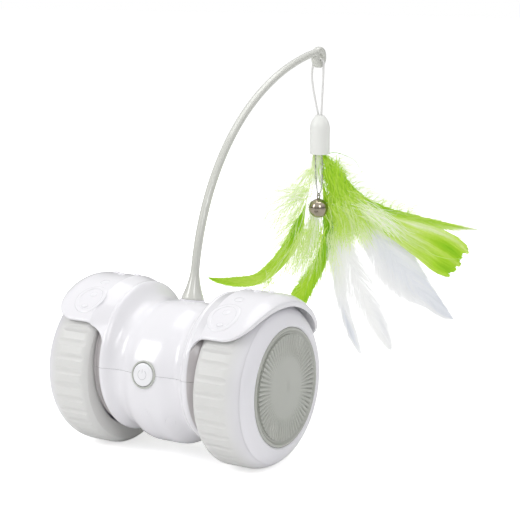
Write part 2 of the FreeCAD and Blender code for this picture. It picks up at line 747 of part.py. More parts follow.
def tooth_ring(teeth, near, far, phase, bore=0):
    """An involute gear along the X axis between two stations, with a tooth at the phase."""
    step, pressure = size("gear_step"), math.radians(size("pressure_angle"))
    pitch_r = teeth * step / 2
    base_r = pitch_r * math.cos(pressure)
    tip_r, root_r = pitch_r + 0.9 * step, pitch_r - 1.15 * step
    half = (math.pi * step / 2 - size("tooth_thinning")) / (2 * pitch_r) + involute(pressure)

    def spot(radius, angle):
        return V(near, radius * math.cos(angle), radius * math.sin(angle))

    def lean_in(radius):
        """Half the tooth's angle at a radius."""
        return half - involute(math.acos(base_r / radius))

    low = max(root_r, base_r)
    flank = [low, (low + tip_r) / 2, tip_r]
    edges = []
    for k in range(teeth):
        angle = phase + 2 * math.pi * k / teeth
        rise = [spot(r, angle - lean_in(r)) for r in flank]
        fall = [spot(r, angle + lean_in(r)) for r in reversed(flank)]
        foot = spot(root_r, angle - lean_in(low))
        heel = spot(root_r, angle + lean_in(low))
        gap_angle = angle + math.pi / teeth
        next_foot = spot(root_r, angle + 2 * math.pi / teeth - lean_in(low))
        if root_r < low:
            edges.append(Part.makeLine(foot, rise[0]))
        edges.append(Part.Arc(*rise).toShape())
        edges.append(Part.Arc(rise[2], spot(tip_r, angle), fall[0]).toShape())
        edges.append(Part.Arc(*fall).toShape())
        if root_r < low:
            edges.append(Part.makeLine(fall[2], heel))
        edges.append(Part.Arc(heel, spot(root_r, gap_angle), next_foot).toShape())
    face = Part.Face(Part.Wire(edges))
    solid = face.extrude(ALONG * (far - near))
    if bore:
        solid = solid.cut(Part.makeCylinder(bore, far - near, V(near, 0, 0), ALONG))
    return solid


def hub_ring(radius, near, far, bore):
    return Part.makeCylinder(radius, far - near, V(near, 0, 0), ALONG).cut(
        Part.makeCylinder(bore, far - near, V(near, 0, 0), ALONG))


def pitch(teeth):
    return size(teeth) * size("gear_step") / 2


AT_FIRST = "plate_x + plate_thickness + slack"
AT_SECOND = AT_FIRST + " + first_face + slack"
AT_OUTPUT = AT_SECOND + " + second_face + slack"
AT_COVER = AT_OUTPUT + " + output_face + 2 * slack"
COVER_END = AT_COVER + " + plate_thickness"

# The second gear lies in front of the shaft; the first meshes with it and with the motor pinion
MOTOR = V(0, size("motor_y"), size("motor_z"))
SECOND = V(0, -(pitch("pinion_teeth") + pitch("output_teeth")), 0)
REACH = pitch("pinion_teeth") + pitch("large_teeth")
BETWEEN = SECOND - MOTOR
RISE = math.sqrt(REACH ** 2 - (BETWEEN.Length / 2) ** 2)
FIRST = (MOTOR + SECOND) * 0.5 + V(0, BETWEEN.z, -BETWEEN.y).normalize() * RISE


def bearing_angle(start, end):
    return math.atan2(end.z - start.z, end.y - start.y)


def make_gears():
    """The four gears of the right side, in mesh: pinion, first, second and output."""
    pinion, large, output = (int(size(name)) for name in
                             ("pinion_teeth", "large_teeth", "output_teeth"))
    bore = size("pin_r") + size("running_gap")
    first_x, second_x, output_x = size(AT_FIRST), size(AT_SECOND), size(AT_OUTPUT)
    first_end = first_x + size("first_face")
    second_end = second_x + size("second_face")
    output_end = output_x + size("output_face")
    to_first, to_second = bearing_angle(MOTOR, FIRST), bearing_angle(FIRST, SECOND)
    to_shaft = bearing_angle(SECOND, V(0, 0, 0))
    half_large, half_output = math.pi / large, math.pi / output

    motor_pinion = tooth_ring(pinion, first_x, first_end + 0.25, to_first)
    shaft = Part.makeCylinder(size("motor_shaft_r"), first_x - size("plate_x") + 4,
                              V(size("plate_x") - 4, 0, 0), ALONG)
    motor_pinion = motor_pinion.fuse(shaft)
    first = tooth_ring(large, first_x, first_end, to_first + math.pi + half_large, bore)
    first = first.fuse([tooth_ring(pinion, first_end, second_end, to_second, bore),
                        hub_ring(bore + 0.45, second_end, output_end + size("slack"), bore)])
    second = tooth_ring(large, second_x, second_end, to_second + math.pi + half_large, bore)
    second = second.fuse([tooth_ring(pinion, second_end, output_end, to_shaft, bore),
                          hub_ring(bore + 0.7, first_x, second_x, bore)])
    hole = size("shaft_r") + 0.02
    drive = tooth_ring(output, output_x, output_end, to_shaft + math.pi + half_output, hole)
    drive = drive.fuse(hub_ring(hole + 0.75, first_x, output_x, hole))
    places = (("motor_pinion", motor_pinion, MOTOR), ("first_gear", first, FIRST),
              ("second_gear", second, SECOND), ("output_gear", drive, V(0, 0, 0)))
    for name, shape, spot in places:
        for side_name, side in SIDES:
            moved = shape.copy()
            moved.translate(spot)
            if side < 0:
                moved = moved.mirror(V(0, 0, 0), ALONG)
            formula("%s_%s" % (side_name, name), leaning(moved))


make_gears()
FIRST_AT, SECOND_AT = (FIRST.y, FIRST.z), (SECOND.y, SECOND.z)
MOTOR_AT = ("motor_y", "motor_z")
POSTS = ((12.5, 3.0), (-20.5, 12.5), (-9.5, -13.5))
PLATE_AT = (0, "waist_lift + 0.5")
PLATE_R = "waist_r - shell_wall - 0.4"
SHAFT_AT = (0, 0)

for side_name, side in SIDES:
    # Motor with its front boss and shaft bore, and terminals at its rear
    can = shared(rod("X", "motor_width / 2", *span(side, "plate_x - motor_length - 0.2", "plate_x - 0.2"),
                     at=MOTOR_AT),
                 block(span(side, "0", "plate_x"),
                       ("motor_y - motor_width / 2", "motor_y + motor_width / 2"),
                       ("motor_z - motor_height / 2", "motor_z + motor_height / 2")))
    nose = rod("X", "2", *span(side, "plate_x - 1", "plate_x + plate_thickness - 0.1"), at=MOTOR_AT)
    bore = rod("X", "motor_shaft_r + running_gap",
               *span(side, "plate_x - 4.2", "plate_x + plate_thickness"), at=MOTOR_AT)
    lean(piece(cut(joined(can, nose), bore), side_name + "_motor"))

    # Gear plate, round inside the shell, with a slot for the battery
    plate = rod("X", PLATE_R, *span(side, "plate_x", "plate_x + plate_thickness"), at=PLATE_AT)
    posts = [rod("X", "post_r", *span(side, "plate_x", AT_COVER), at=spot) for spot in POSTS]
    holes = [rod("X", "2.1", *span(side, "plate_x - 1", AT_FIRST), at=MOTOR_AT),
             rod("X", "shaft_r + running_gap", *span(side, "plate_x - 1", AT_FIRST), at=SHAFT_AT),
             rod("X", "cell_r + tray_wall + 0.7", *span(side, "plate_x - 1", AT_FIRST),
                 at=("cell_y", "cell_z")),
             block(span(side, "plate_x - 1", AT_FIRST),
                   ("cell_y - cell_r - tray_wall - 0.7", "cell_y + cell_r + tray_wall + 0.7"),
                   (-BEYOND, "cell_z"))]
    holes += [rod("X", "pin_r + running_gap", *span(side, "plate_x - 1", AT_FIRST), at=spot)
              for spot in (FIRST_AT, SECOND_AT)]
    holes += [rod("X", "cover_screw_r + running_gap",
                  *span(side, COVER_END + " - 7.5", COVER_END), at=spot) for spot in POSTS]
    lean(piece(cut(joined(plate, *posts), *holes), side_name + "_gear_plate"))

    # Gear cover between the gears and the end wall
    disc = rod("X", "cover_plate_r", *span(side, AT_COVER, COVER_END), at=(-4, 0.8))
    holes = [rod("X", "bush_r + running_gap", *span(side, AT_COVER + " - 1", COVER_END + " + 1"),
                 at=SHAFT_AT)]
    holes += [rod("X", "pin_r + running_gap", *span(side, AT_COVER + " - 1", COVER_END + " + 1"),
                  at=spot) for spot in (FIRST_AT, SECOND_AT)]
    for spot in POSTS:
        holes.append(rod("X", "cover_screw_r + running_gap",
                         *span(side, AT_COVER + " - 1", COVER_END + " + 1"), at=spot))
        holes.append(rod("X", "2 * cover_screw_r + 0.1",
                         *span(side, COVER_END + " - 0.6", COVER_END + " + 1"), at=spot))
    lean(piece(cut(disc, *holes), side_name + "_gear_cover"))

    pins = [rod("X", "pin_r", *span(side, "plate_x + 0.1", COVER_END + " - 0.1"), at=spot)
            for spot in (FIRST_AT, SECOND_AT)]
    lean(piece(group(*pins), side_name + "_gear_pins"))


def screw(axis, radius, head_r, tip, seat, head, at):
    """A screw from its tip to the seat of its head, with the head beyond the seat."""
    return joined(rod(axis, radius, *((tip, seat) if head > 0 else (seat, tip)), at=at),
                  rod(axis, head_r, *((seat, "%s + %s" % (seat, head)) if head > 0
                                      else ("%s - %s" % (seat, -head), seat)), at=at))


cover_screws = []
for _, side in SIDES:
    for spot in POSTS:
        ends = (COVER_END + " - 7", COVER_END + " - 0.6")
        if side > 0:
            cover_screws.append(screw("X", "cover_screw_r", "2 * cover_screw_r", *ends, 0.55, spot))
        else:
            cover_screws.append(screw("X", "cover_screw_r", "2 * cover_screw_r",
                                      "-(%s)" % ends[0], "-(%s)" % ends[1], -0.55, spot))
lean(piece(group(*cover_screws), "gear_cover_screws"))

# Screws that hold the shells together from below, and the main board on its posts
shell_screws = [screw("Z", "shell_screw_r", "screw_well_r - 0.25",
                      "screw_well_top + screw_grip", "screw_well_top", -1.6, spot)
                for spot in SCREW_SPOTS]
lean(piece(group(*shell_screws), "shell_screws"))
BOARD_TOP = "board_z + board_thickness"
board_screws = [screw("Z", "0.8", "1.6", BOARD_TOP + " - 6.5", BOARD_TOP, 0.8, spot)
                for spot in BOARD_SPOTS]
lean(piece(group(*board_screws), "board_screws"))


# Battery in its tray, and the ballast that keeps the body upright
def make_battery():
    half = "cell_length / 2"
    nub = "cell_r * 0.37"
    cell = turned("cell", "X", [
        ("-" + half, "0"), ("-" + half, "cell_r - 0.5"), ("-%s + 0.5" % half, "cell_r"),
        (half + " - 0.9", "cell_r"), (half + " - 0.4", "cell_r - 0.5"), (half + " - 0.4", nub),
        (half + " + 0.4", nub), (half + " + 0.4", "0")])
    lean(piece(cell, "battery_cell"), 0, "cell_y", "cell_z")
    at = ("cell_y", "cell_z")
    ends = ("-%s - 0.65" % half, half + " + 0.65")
    trough = cut(rod("X", "cell_r + 0.15 + tray_wall", *ends, at=at),
                 rod("X", "cell_r + 0.15", *ends, at=at),
                 block(ACROSS, ACROSS, ("cell_z", BEYOND)))
    walls = [block(span(side, half + " + 0.6", half + " + 1"), ("cell_y - 6.9", "cell_y + 6.9"),
                   ("cell_z - 6.1", "cell_z + 6.5")) for _, side in SIDES]
    lean(piece(joined(trough, *walls), "battery_tray"))


make_battery()


def make_ballast():
    """Steel weights on the floor of the shell: before, behind and beside the battery."""
    tray = "cell_r + 0.15 + tray_wall + slack"
    ends = ("-ballast_half", "ballast_half")
    low = (-BEYOND, "ballast_top")
    bars = joined(block(ends, ("-ballast_front", "cell_y - (%s)" % tray), low),
                  block(ends, ("cell_y + (%s)" % tray, "ballast_rear"), low))
    cavity = lofted(STATIONS[:-1] + (INNER_RIM,), "shell_wall + slack")
    posts = [rod("Z", "board_post_r + slack", -BEYOND, BEYOND, spot) for spot in BOARD_SPOTS]
    weights = [cut(shared(bars, cavity), *posts)]
    near, far = "plate_x + plate_thickness + slack", AT_COVER + " - slack"
    for _, side in SIDES:
        cheek = block(span(side, near, far), ("-ballast_front - 3", "cell_y - (%s)" % tray),
                      (-BEYOND, "ballast_top - 0.7"))
        bore = rod("X", "drum_r - shell_wall - slack", *span(side, "plate_x", "drum_x"),
                   at=(0, "rim_lift"))
        post = rod("X", "post_r + slack", *span(side, "plate_x", "drum_x"), at=POSTS[2])
        weights.append(cut(shared(cheek, bore), post))
    return lean(piece(group(*weights), "ballast_weights"))


make_ballast()


# Electronics
def make_electronics():
    plate = joined(
        block(("-board_half", "board_half"), ("-board_front", "board_back"),
              ("board_z", BOARD_TOP)),
        block(("-tongue_half", "tongue_half"), ("board_back - 1", "tongue_back"),
              ("board_z", BOARD_TOP)))
    holes = [rod("Z", "0.85", "board_z - 1", BOARD_TOP + " + 1", spot) for spot in BOARD_SPOTS]
    chips = [block((-10.5, -4.5), (-12, -5), (BOARD_TOP + " - 0.1", BOARD_TOP + " + 1.1")),
             block((3, 9), (-15, -9), (BOARD_TOP + " - 0.1", BOARD_TOP + " + 1.4")),
             block((5, 11.5), (8, 13), (BOARD_TOP + " - 0.1", BOARD_TOP + " + 2.2"))]
    lean(piece(joined(cut(plate, *holes), *chips), "main_board"))
    module = joined(
        block((-10.9, -1.5), (2, 17.5), (BOARD_TOP + " + 0.05", BOARD_TOP + " + 0.95")),
        block((-10.8, -4.5), (4, 11), (BOARD_TOP + " + 0.9", BOARD_TOP + " + 2.6")))
    lean(piece(module, "receiver_module"))
    half = "socket_width / 2"
    low, high = BOARD_TOP + " + 0.05", BOARD_TOP + " + 0.05 + socket_height"
    shell = block(("-" + half, half), ("socket_front", "socket_back"), (low, high))
    mouth = block(("-%s + 0.45" % half, half + " - 0.45"), ("socket_back - 5", "socket_back + 1"),
                  (low + " + 0.4", high + " - 0.4"))
    blade = block(("-" + half + " + 1.4", half + " - 1.4"), ("socket_back - 5.5", "socket_back - 0.8"),
                  (low + " + 1", low + " + 1.5"))
    lean(piece(joined(cut(shell, mouth), blade), "charging_socket"))
    lean(piece(joined(
        block(("-switch_board_half", "switch_board_half"), ("switch_board_y", "switch_board_y + 1"),
              ("-switch_board_half + 0.5", "switch_board_half - 0.5")),
        block((2, 5), ("switch_board_y + 0.9", "switch_board_y + 2"), (-5, -3))), "switch_board"))
    lean(piece(joined(
        block(("-switch_size / 2", "switch_size / 2"), ("switch_board_y - 3.2", "switch_board_y - 0.05"),
              ("-switch_size / 2", "switch_size / 2")),
        rod("Y", "switch_size / 4", "switch_board_y - 3.75", "switch_board_y - 3")), "tact_switch"))


make_electronics()


# Wand: plug, flared foot, a rod that bends back, and the eyelet at its tip
EYE_LOCAL = ("wand_end_y + eyelet_ahead", "wand_end_z - eyelet_drop")
EYE_Y = "(%s) * cos(body_lean) + (%s) * sin(body_lean)" % EYE_LOCAL
EYE_Z = "wheel_radius - (%s) * sin(body_lean) + (%s) * cos(body_lean)" % EYE_LOCAL


def make_wand():
    top = "wand_pad_z + wand_foot_height"
    foot = turned("foot", "Z", [
        ("wand_pad_z - plug_length", "0"), ("wand_pad_z - plug_length", "plug_r - 0.4"),
        ("wand_pad_z - plug_length + 0.4", "plug_r"), ("wand_pad_z", "plug_r"),
        ("wand_pad_z", "wand_foot_r - 0.25"), ("wand_pad_z + 0.25", "wand_foot_r"),
        ("wand_pad_z + 1", "wand_foot_r - 0.1", -42), (top, "wand_low_r"), (top, "0")])
    place(foot, 0, "wand_y", 0)

    # The rod's centre line is one Bezier curve; round sections stand square on it
    turn = math.radians(size("wand_end_angle"))
    start = V(0, size("wand_y"), size(top) - 7)
    end = V(0, size("wand_end_y"), size("wand_end_z"))
    curve = Part.BezierCurve()
    curve.setPoles([start, start + UP * size("wand_start_pull"),
                    end - V(0, math.sin(turn), math.cos(turn)) * size("wand_end_pull"), end])
    rings = []
    steps = 10
    for k in range(steps + 1):
        share = k / steps
        radius = size("wand_low_r") + (size("wand_tip_r") - size("wand_low_r")) * share
        rings.append(Part.Wire(Part.Circle(curve.value(share), V(*curve.tangent(share)[0]),
                                           radius).toShape()))
    stem = made("stem", Part.makeLoft(rings, True, False))

    half, rim, hole = "eyelet_thickness / 2", "eyelet_r", "eyelet_hole_r"
    profile = [
        (half + " - 1", hole, 0.7), (half + " - 0.3", hole + " + 0.7"),
        (half, hole + " + 1.3"), (half, rim + " - 1.2", 1.2), (half + " - 1.2", rim),
        ("-%s + 1.2" % half, rim, 1.2), ("-" + half, rim + " - 1.2"),
        ("-" + half, hole + " + 1.3"), ("-%s + 0.3" % half, hole + " + 0.7", 0.7),
        ("-%s + 1" % half, hole)]
    eye = turned("eye", "X", profile)
    place(eye, 0, *EYE_LOCAL)
    lean(piece(joined(foot, stem, eye), "wand"))


make_wand()


# Cords: straight runs joined by tangent arcs
def cord_route(name, points, tight=None):
    """A wire through the points; an arc's radius is 0.45 of its shorter run over the tangent
    of half its turn, or the given one where the cord goes tightly round something."""
    tight = tight or {}
    edges, radii = [], []
    start = points[0]
    for k in range(1, len(points) - 1):
        before, corner, after = points[k - 1], points[k], points[k + 1]
        come, go = (corner - before), (after - corner)
        half = come.getAngle(go) / 2
        run = min(come.Length, go.Length)
        radius = tight.get(k, 0.45 * run / math.tan(half))
        back = radius * math.tan(half)
        come.normalize()
        go.normalize()
        first, last = corner - come * back, corner + go * back
        inside = (go - come).normalize()
        middle = corner + inside * (radius / math.cos(half) - radius)
        edges.append(Part.makeLine(start, first))
        edges.append(Part.Arc(first, middle, last).toShape())
        radii.append(round(radius, 2))
        start = last
    edges.append(Part.makeLine(start, points[-1]))
    wire = Part.Wire(edges)
    print(name, "length %.1f" % wire.Length, "radii", radii)
    return wire


def cord(label, points, radius, tight=None):
    wire = cord_route(label, points, tight)
    ring = Part.Wire(Part.Circle(points[0], points[1] - points[0], radius).toShape())
    tube = wire.makePipeShell([ring], True, False)
    print(label, "volume %.2f, section times length %.2f"
          % (tube.Volume, math.pi * radius ** 2 * wire.Length))
    return formula(label, tube)


EYE = V(0, size(EYE_Y), size(EYE_Z))
# Across and up from the eyelet's centre: up the front strand, through the eyelet, down the back
STRING = [(1.75, -32.1), (2.55, -16.5), (2.9, -1.05), (-2.9, -1.05), (-4.4, -11.0), (-2.6, -21.0),
          (0.2, -32.1)]
cord("string_loop", [EYE + V(across, 0, up) for across, up in STRING], size("string_r"),
     {2: 1.5, 3: 1.5})


# Feather cap on the string, with the plug that holds the quills in its mouth
MOUTH_Z = EYE_Z + " - cap_drop - cap_length"


def make_cap():
    cap = turned("cap", "Z", [
        ("0", "cap_bore_r + 0.3"), ("0", "cap_r - 0.3"), ("0.35", "cap_r"),
        ("cap_length - 9", "cap_r", 11), ("cap_length - 0.4", "cap_hole_r + 0.5"),
        ("cap_length", "cap_hole_r + 0.2"), ("cap_length - 0.2", "cap_hole_r"),
        ("cap_length - 5.5", "cap_hole_r"), ("cap_length - 6.5", "cap_bore_r"),
        ("0.4", "cap_bore_r")])
    place(piece(cap, "feather_cap"), "cap_x", EYE_Y, MOUTH_Z)
    plug = turned("plug", "Z", [
        ("0", "0"), ("0", "cap_bore_r - running_gap - 0.2"), ("0.3", "cap_bore_r - running_gap"),
        ("feather_plug_length", "cap_bore_r - running_gap"), ("feather_plug_length", "0")])
    place(piece(plug, "feather_plug"), "cap_x", EYE_Y, MOUTH_Z + " + feather_plug_rise")


make_cap()
MOUTH = V(size("cap_x"), EYE.y, size(MOUTH_Z))


# Bell: two half shells, a shank ring, a slot below and a pellet inside
BELL_AT = ("bell_x", EYE_Y + " - bell_ahead", MOUTH_Z + " - bell_drop")


def make_bell():
    inner = "bell_r - bell_wall"
    seam = 0.05

    def ball(radius):
        item = doc.addObject("Part::Sphere", "ball")
        bind(item, "Radius", radius)
        return item

    def half_shell(low, high):
        return cut(shared(ball("bell_r"), block(ACROSS, ACROSS, (low, high))), ball(inner))

    bead = cut(rod("Z", "bell_r + 0.15", seam, 0.5), rod("Z", inner, 0, 1))
    ring = doc.addObject("Part::Torus", "shank")
    ring.Placement = FreeCAD.Placement(V(0, 0, 0), TURN_TO["X"])
    bind(ring, "Radius1", "shank_r")
    bind(ring, "Radius2", "shank_wire_r")
    place(ring, 0, 0, "bell_r + shank_r - 0.15")
    upper = joined(half_shell(seam, BEYOND), bead, ring)
    place(piece(upper, "bell_upper"), *BELL_AT)
    slot = block(("-bell_r * 0.6", "bell_r * 0.6"), (-0.5, 0.5), (-BEYOND, "-bell_r * 0.2"))
    ends = [rod("Z", 1.1, -BEYOND, 0, ("%d * bell_r * 0.6" % end, 0)) for end in (-1, 1)]
    place(piece(cut(half_shell(-BEYOND, -seam), slot, *ends), "bell_lower"), *BELL_AT)
    pellet = ball("pellet_r")
    place(piece(pellet, "bell_pellet"), BELL_AT[0], BELL_AT[1],
          BELL_AT[2] + " - (%s) + pellet_r + 0.2" % inner)


make_bell()

BELL = V(size(BELL_AT[0]), size(BELL_AT[1]), size(BELL_AT[2]))
SHANK_TOP = size("bell_r + 2 * shank_r - 0.15")
CORD_TURN = size("shank_wire_r + bell_cord_r + 0.15")
CORD_TOP = size("bell_drop + feather_plug_rise - slack")
# Across and up from the bell's centre: down the right strand, under the shank, up the left
BELL_CORD = [(0.55, CORD_TOP), (CORD_TURN + 0.1, 18), (CORD_TURN, SHANK_TOP - CORD_TURN),
             (-CORD_TURN, SHANK_TOP - CORD_TURN), (-CORD_TURN - 0.15, 20), (-0.5, CORD_TOP)]
cord("bell_cord", [BELL + V(across, 0, up) for across, up in BELL_CORD], size("bell_cord_r"),
     {2: CORD_TURN - 0.03, 3: CORD_TURN - 0.03})


# Feathers: thin curved leaves that fan out below the cap, each bent in its own depth
FAN = math.radians(size("feather_turn"))
RIGHTWARDS = V(math.cos(FAN), math.sin(FAN), 0)
BACKWARDS = V(-math.sin(FAN), math.cos(FAN), 0)
# Each feather: its quill's points (right, down, half width), then its depth (down, back)
FEATHERS = {
    "feather_left_green": (
        [(-2.0, -1.3, 0.6), (-4.2, 12, 1.6), (-7.4, 36.5, 2.6), (-13.3, 51.7, 3.6),
         (-23.3, 67.2, 4.4), (-40.2, 75.6, 4.2), (-61.3, 71.4, 0)],
        [(-2, 0.6), (25, 5.8), (55, 8), (85, 9)]),
    "feather_left_down": (
        [(-2.4, -1.3, 0.6), (-11, 10, 5), (-25, 23, 8), (-38, 33, 7.5), (-50, 40, 0)],
        [(-2, -1.7), (30, -0.8), (60, 0)]),
    "feather_middle_green": (
        [(-0.4, -1.3, 0.6), (1.5, 10, 3), (3.2, 25, 4.4), (3.5, 41.7, 4.8), (-1.9, 64.1, 4.8),
         (-10.2, 84.2, 4), (-15.8, 94.6, 0)],
        [(-2, 1.8), (10, 4.6), (25, 7.6), (70, 10), (105, 10)]),
    "feather_fan_green": (
        [(2.2, -1.3, 0.6), (5.5, 9, 2.5), (22.3, 26, 5), (44.8, 40.2, 8.5), (66, 54, 11.5),
         (77, 60, 9.5), (82, 62.5, 0)],
        [(-2, -2.1), (25, 1.5), (70, 6)]),
    "feather_right_green": (
        [(2.2, -1.3, 0.6), (5.7, 6.6, 2), (14.2, 17, 5), (45, 27, 8), (67.6, 37, 6.5),
         (91, 45, 0)],
        [(-2, 0.7), (25, 6.5), (50, 12)]),
    "feather_white_upper": (
        [(2.2, -1.3, 0.6), (5.6, 9.2, 2), (28.2, 34.9, 6), (51.1, 60, 8), (76.2, 94.4, 0)],
        [(-2, -0.7), (25, 3.8), (60, 8.5), (100, 12)]),
    "feather_white_lower": (
        [(1.7, -1.3, 0.6), (4.8, 12.7, 2), (15, 56.2, 5), (32.5, 91.2, 5.5), (40.9, 116, 0)],
        [(-2, 2.5), (10, 6.4), (25, 9.8), (60, 14), (115, 16)]),
    "feather_white_back": (
        [(0, -1.3, 0.6), (3.7, 12.9, 2), (9.3, 44.7, 4), (18.3, 96.8, 4.5), (24.1, 116.5, 3.5),
         (26.3, 127, 0)],
        [(-2, 3.3), (10, 7.7), (25, 11.4), (70, 16.2), (100, 14.5), (128, 9)]),
}


def in_fan(right, down, back):
    return MOUTH + RIGHTWARDS * right + BACKWARDS * back - UP * down


def feather(quill, depth):
    """An outline about the quill, cut out of a sheet that bends with the depth."""
    right_side, left_side = [], []
    for k, (right, down, width) in enumerate(quill[:-1]):
        after = quill[k + 1]
        way = V(after[0] - right, after[1] - down, 0).normalize()
        right_side.append((right + way.y * width, down - way.x * width))
        left_side.append((right - way.y * width, down + way.x * width))
    tip = quill[-1][:2]
    spots = [in_fan(right, down, -20) for right, down in right_side + [tip] + left_side[::-1]]
    edge = Part.BSplineCurve()
    edge.interpolate(spots)
    outline = Part.Wire([edge.toShape(), Part.makeLine(spots[-1], spots[0])])
    leaf = Part.Face(outline).extrude(BACKWARDS * 60)
    thickness = size("feather_thickness")
    faces = []
    for offset in (0, thickness):
        bend = Part.BSplineCurve()
        bend.interpolate([in_fan(-90, down, back + offset) for down, back in depth])
        faces.append(bend.toShape())
    near, far = faces
    ends = [Part.makeLine(near.valueAt(near.FirstParameter), far.valueAt(far.FirstParameter)),
            Part.makeLine(near.valueAt(near.LastParameter), far.valueAt(far.LastParameter))]
    sheet_face = Part.Face(Part.Wire(Part.__sortEdges__([near, ends[1], far, ends[0]])))
    return leaf.common(sheet_face.extrude(RIGHTWARDS * 200))


for name, (quill, depth) in FEATHERS.items():
    formula(name, feather(quill, depth))


# Recompute, check every piece and write it
doc.recompute()
for item in doc.Objects:
    if "Invalid" in item.State or "Error" in item.State:
        raise RuntimeError("%s: %s" % (item.Label, item.getStatusString()))
for item in PIECES:
    shape = item.Shape
    if shape.isNull() or not shape.isValid() or not shape.Solids:
        raise RuntimeError(item.Label + " is not a valid solid")
    shape.exportStep("parts/%s.step" % item.Label)
print(len(PIECES), "pieces written")
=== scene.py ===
# %% [markdown]
# # A two-wheeled cat toy with a feather wand
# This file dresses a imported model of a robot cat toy. The hard pieces come from the model and
# only get their finish here. The feathers, the string, the twisted cord and the low relief on
# the fenders are modelled here, because they are all about looks.
# Lengths are in metres, +Z is up, the wheels' axle lies along X and the front faces -Y. Sizes
# that a maker gives in millimetres are written so and multiplied by MM.

import json
import math
import random

import bmesh
import bpy
from mathutils import Matrix, Vector, noise


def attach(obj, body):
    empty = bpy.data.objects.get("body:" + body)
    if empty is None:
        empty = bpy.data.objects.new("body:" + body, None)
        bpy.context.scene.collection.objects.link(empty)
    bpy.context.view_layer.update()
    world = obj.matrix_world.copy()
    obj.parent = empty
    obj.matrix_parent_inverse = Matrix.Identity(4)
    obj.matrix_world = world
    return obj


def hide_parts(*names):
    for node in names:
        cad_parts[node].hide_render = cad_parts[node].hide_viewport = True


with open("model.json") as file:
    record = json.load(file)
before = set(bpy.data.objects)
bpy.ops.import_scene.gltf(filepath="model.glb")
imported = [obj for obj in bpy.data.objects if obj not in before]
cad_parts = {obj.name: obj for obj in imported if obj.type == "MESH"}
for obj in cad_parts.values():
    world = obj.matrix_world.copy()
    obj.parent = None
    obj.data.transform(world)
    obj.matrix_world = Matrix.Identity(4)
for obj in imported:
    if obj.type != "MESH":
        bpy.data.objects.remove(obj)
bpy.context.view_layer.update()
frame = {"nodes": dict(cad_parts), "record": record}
MM = 0.001

# %% [markdown]
# ## Camera
# The photograph was taken from the front right, a little above the toy, with a long lens.
# A camera is placed by the point it looks at, two angles and a distance, because those are
# the numbers that a photographer would write down.

# %% Camera
AIM = Vector((0.0261, 0.0278, 0.0930))
AZIMUTH = math.radians(31.29)
ELEVATION = math.radians(10.84)
DISTANCE = 0.7456
LENS = 106.1
SENSOR = 36
towards_camera = Vector((math.sin(AZIMUTH) * math.cos(ELEVATION),
                         -math.cos(AZIMUTH) * math.cos(ELEVATION), math.sin(ELEVATION)))
camera_data = bpy.data.cameras.new("camera")
camera_data.lens = LENS
camera_data.sensor_width = SENSOR
camera_data.clip_start = 0.05
camera = bpy.data.objects.new("camera", camera_data)
bpy.context.scene.collection.objects.link(camera)
camera.location = AIM + towards_camera * DISTANCE
camera.rotation_mode = "QUATERNION"
camera.rotation_quaternion = (-towards_camera).to_track_quat("-Z", "Y")
bpy.context.scene.camera = camera
print("camera at", [round(v, 3) for v in camera.location])

# %% [markdown]
# ## Node helpers
# Every finish is a small tree of shader nodes. One helper adds a node with its values set and
# another strings a sum or a product together, so that each material reads as a short list of
# what it is made of. Colours are written as they look on screen, which is how a maker picks
# them, and turned into the linear values that shaders work with.


# %% Node helpers
def add(tree, kind, values=(), **settings):
    """A node of that kind. Settings are its own properties, values its input sockets."""
    node = tree.nodes.new("ShaderNode" + kind)
    for name, value in settings.items():
        setattr(node, name, value)
    for name, value in dict(values).items():
        node.inputs[name].default_value = value
    return node


def link(tree, start, end):
    tree.links.new(start, end)


def chained(tree, operation, *sockets):
    """One value from several, worked out two at a time, such as their product or largest."""
    result = sockets[0]
    for socket in sockets[1:]:
        node = add(tree, "Math", operation=operation)
        link(tree, result, node.inputs[0])
        link(tree, socket, node.inputs[1])
        result = node.outputs[0]
    return result


def new_material(name, **values):
    """A material with a Principled shader whose sockets have these values."""
    made = bpy.data.materials.new(name)
    made.use_nodes = True
    made.node_tree.nodes.clear()
    tree = made.node_tree
    shader = add(tree, "BsdfPrincipled", {key.replace("_", " "): v for key, v in values.items()})
    link(tree, shader.outputs[0], add(tree, "OutputMaterial").inputs[0])
    return made, tree, shader


def srgb(red, green, blue):
    """A colour as it looks on screen, from 0 to 255, as the linear colour that shaders use."""
    def linear(value):
        share = value / 255
        return share / 12.92 if share <= 0.04045 else ((share + 0.055) / 1.055) ** 2.4
    return (linear(red), linear(green), linear(blue), 1.0)


# %% [markdown]
# ## White floor
# The toy stands in a bright white studio, so the floor has to look pure white and still catch
# a faint shadow. A plain square does for it. Its material glows a little, but only as the
# camera sees it, so that the glow throws no light on the toy.

# %% White floor
scene = bpy.context.scene
scene.view_settings.view_transform = "Standard"
FLOOR_HALF = 6.0
FLOOR_GLOW = 0.6
floor_mesh = bmesh.new()
bmesh.ops.create_grid(floor_mesh, x_segments=1, y_segments=1, size=FLOOR_HALF)
floor_data = bpy.data.meshes.new("floor")
floor_mesh.to_mesh(floor_data)
floor_mesh.free()
floor = bpy.data.objects.new("floor", floor_data)
scene.collection.objects.link(floor)

floor_finish, tree, shader = new_material(
    "floor_white", Base_Color=(0.97, 0.97, 0.97, 1), Roughness=0.9, Specular_IOR_Level=0.1,
    Emission_Color=(1, 1, 1, 1))
path = add(tree, "LightPath")
glow = add(tree, "Math", {1: FLOOR_GLOW}, operation="MULTIPLY")
link(tree, path.outputs["Is Camera Ray"], glow.inputs[0])
link(tree, glow.outputs[0], shader.inputs["Emission Strength"])
floor_data.materials.append(floor_finish)
print("the floor measures", 2 * FLOOR_HALF, "across")

# %% [markdown]
# ## World
# The world looks pure white to the camera too, but the light that it throws on the toy is much
# softer, so that white plastic keeps its shading. What a gloss reflects is graded: it darkens
# towards the horizon, as the far walls of a studio do, so that metal gets its contrast.

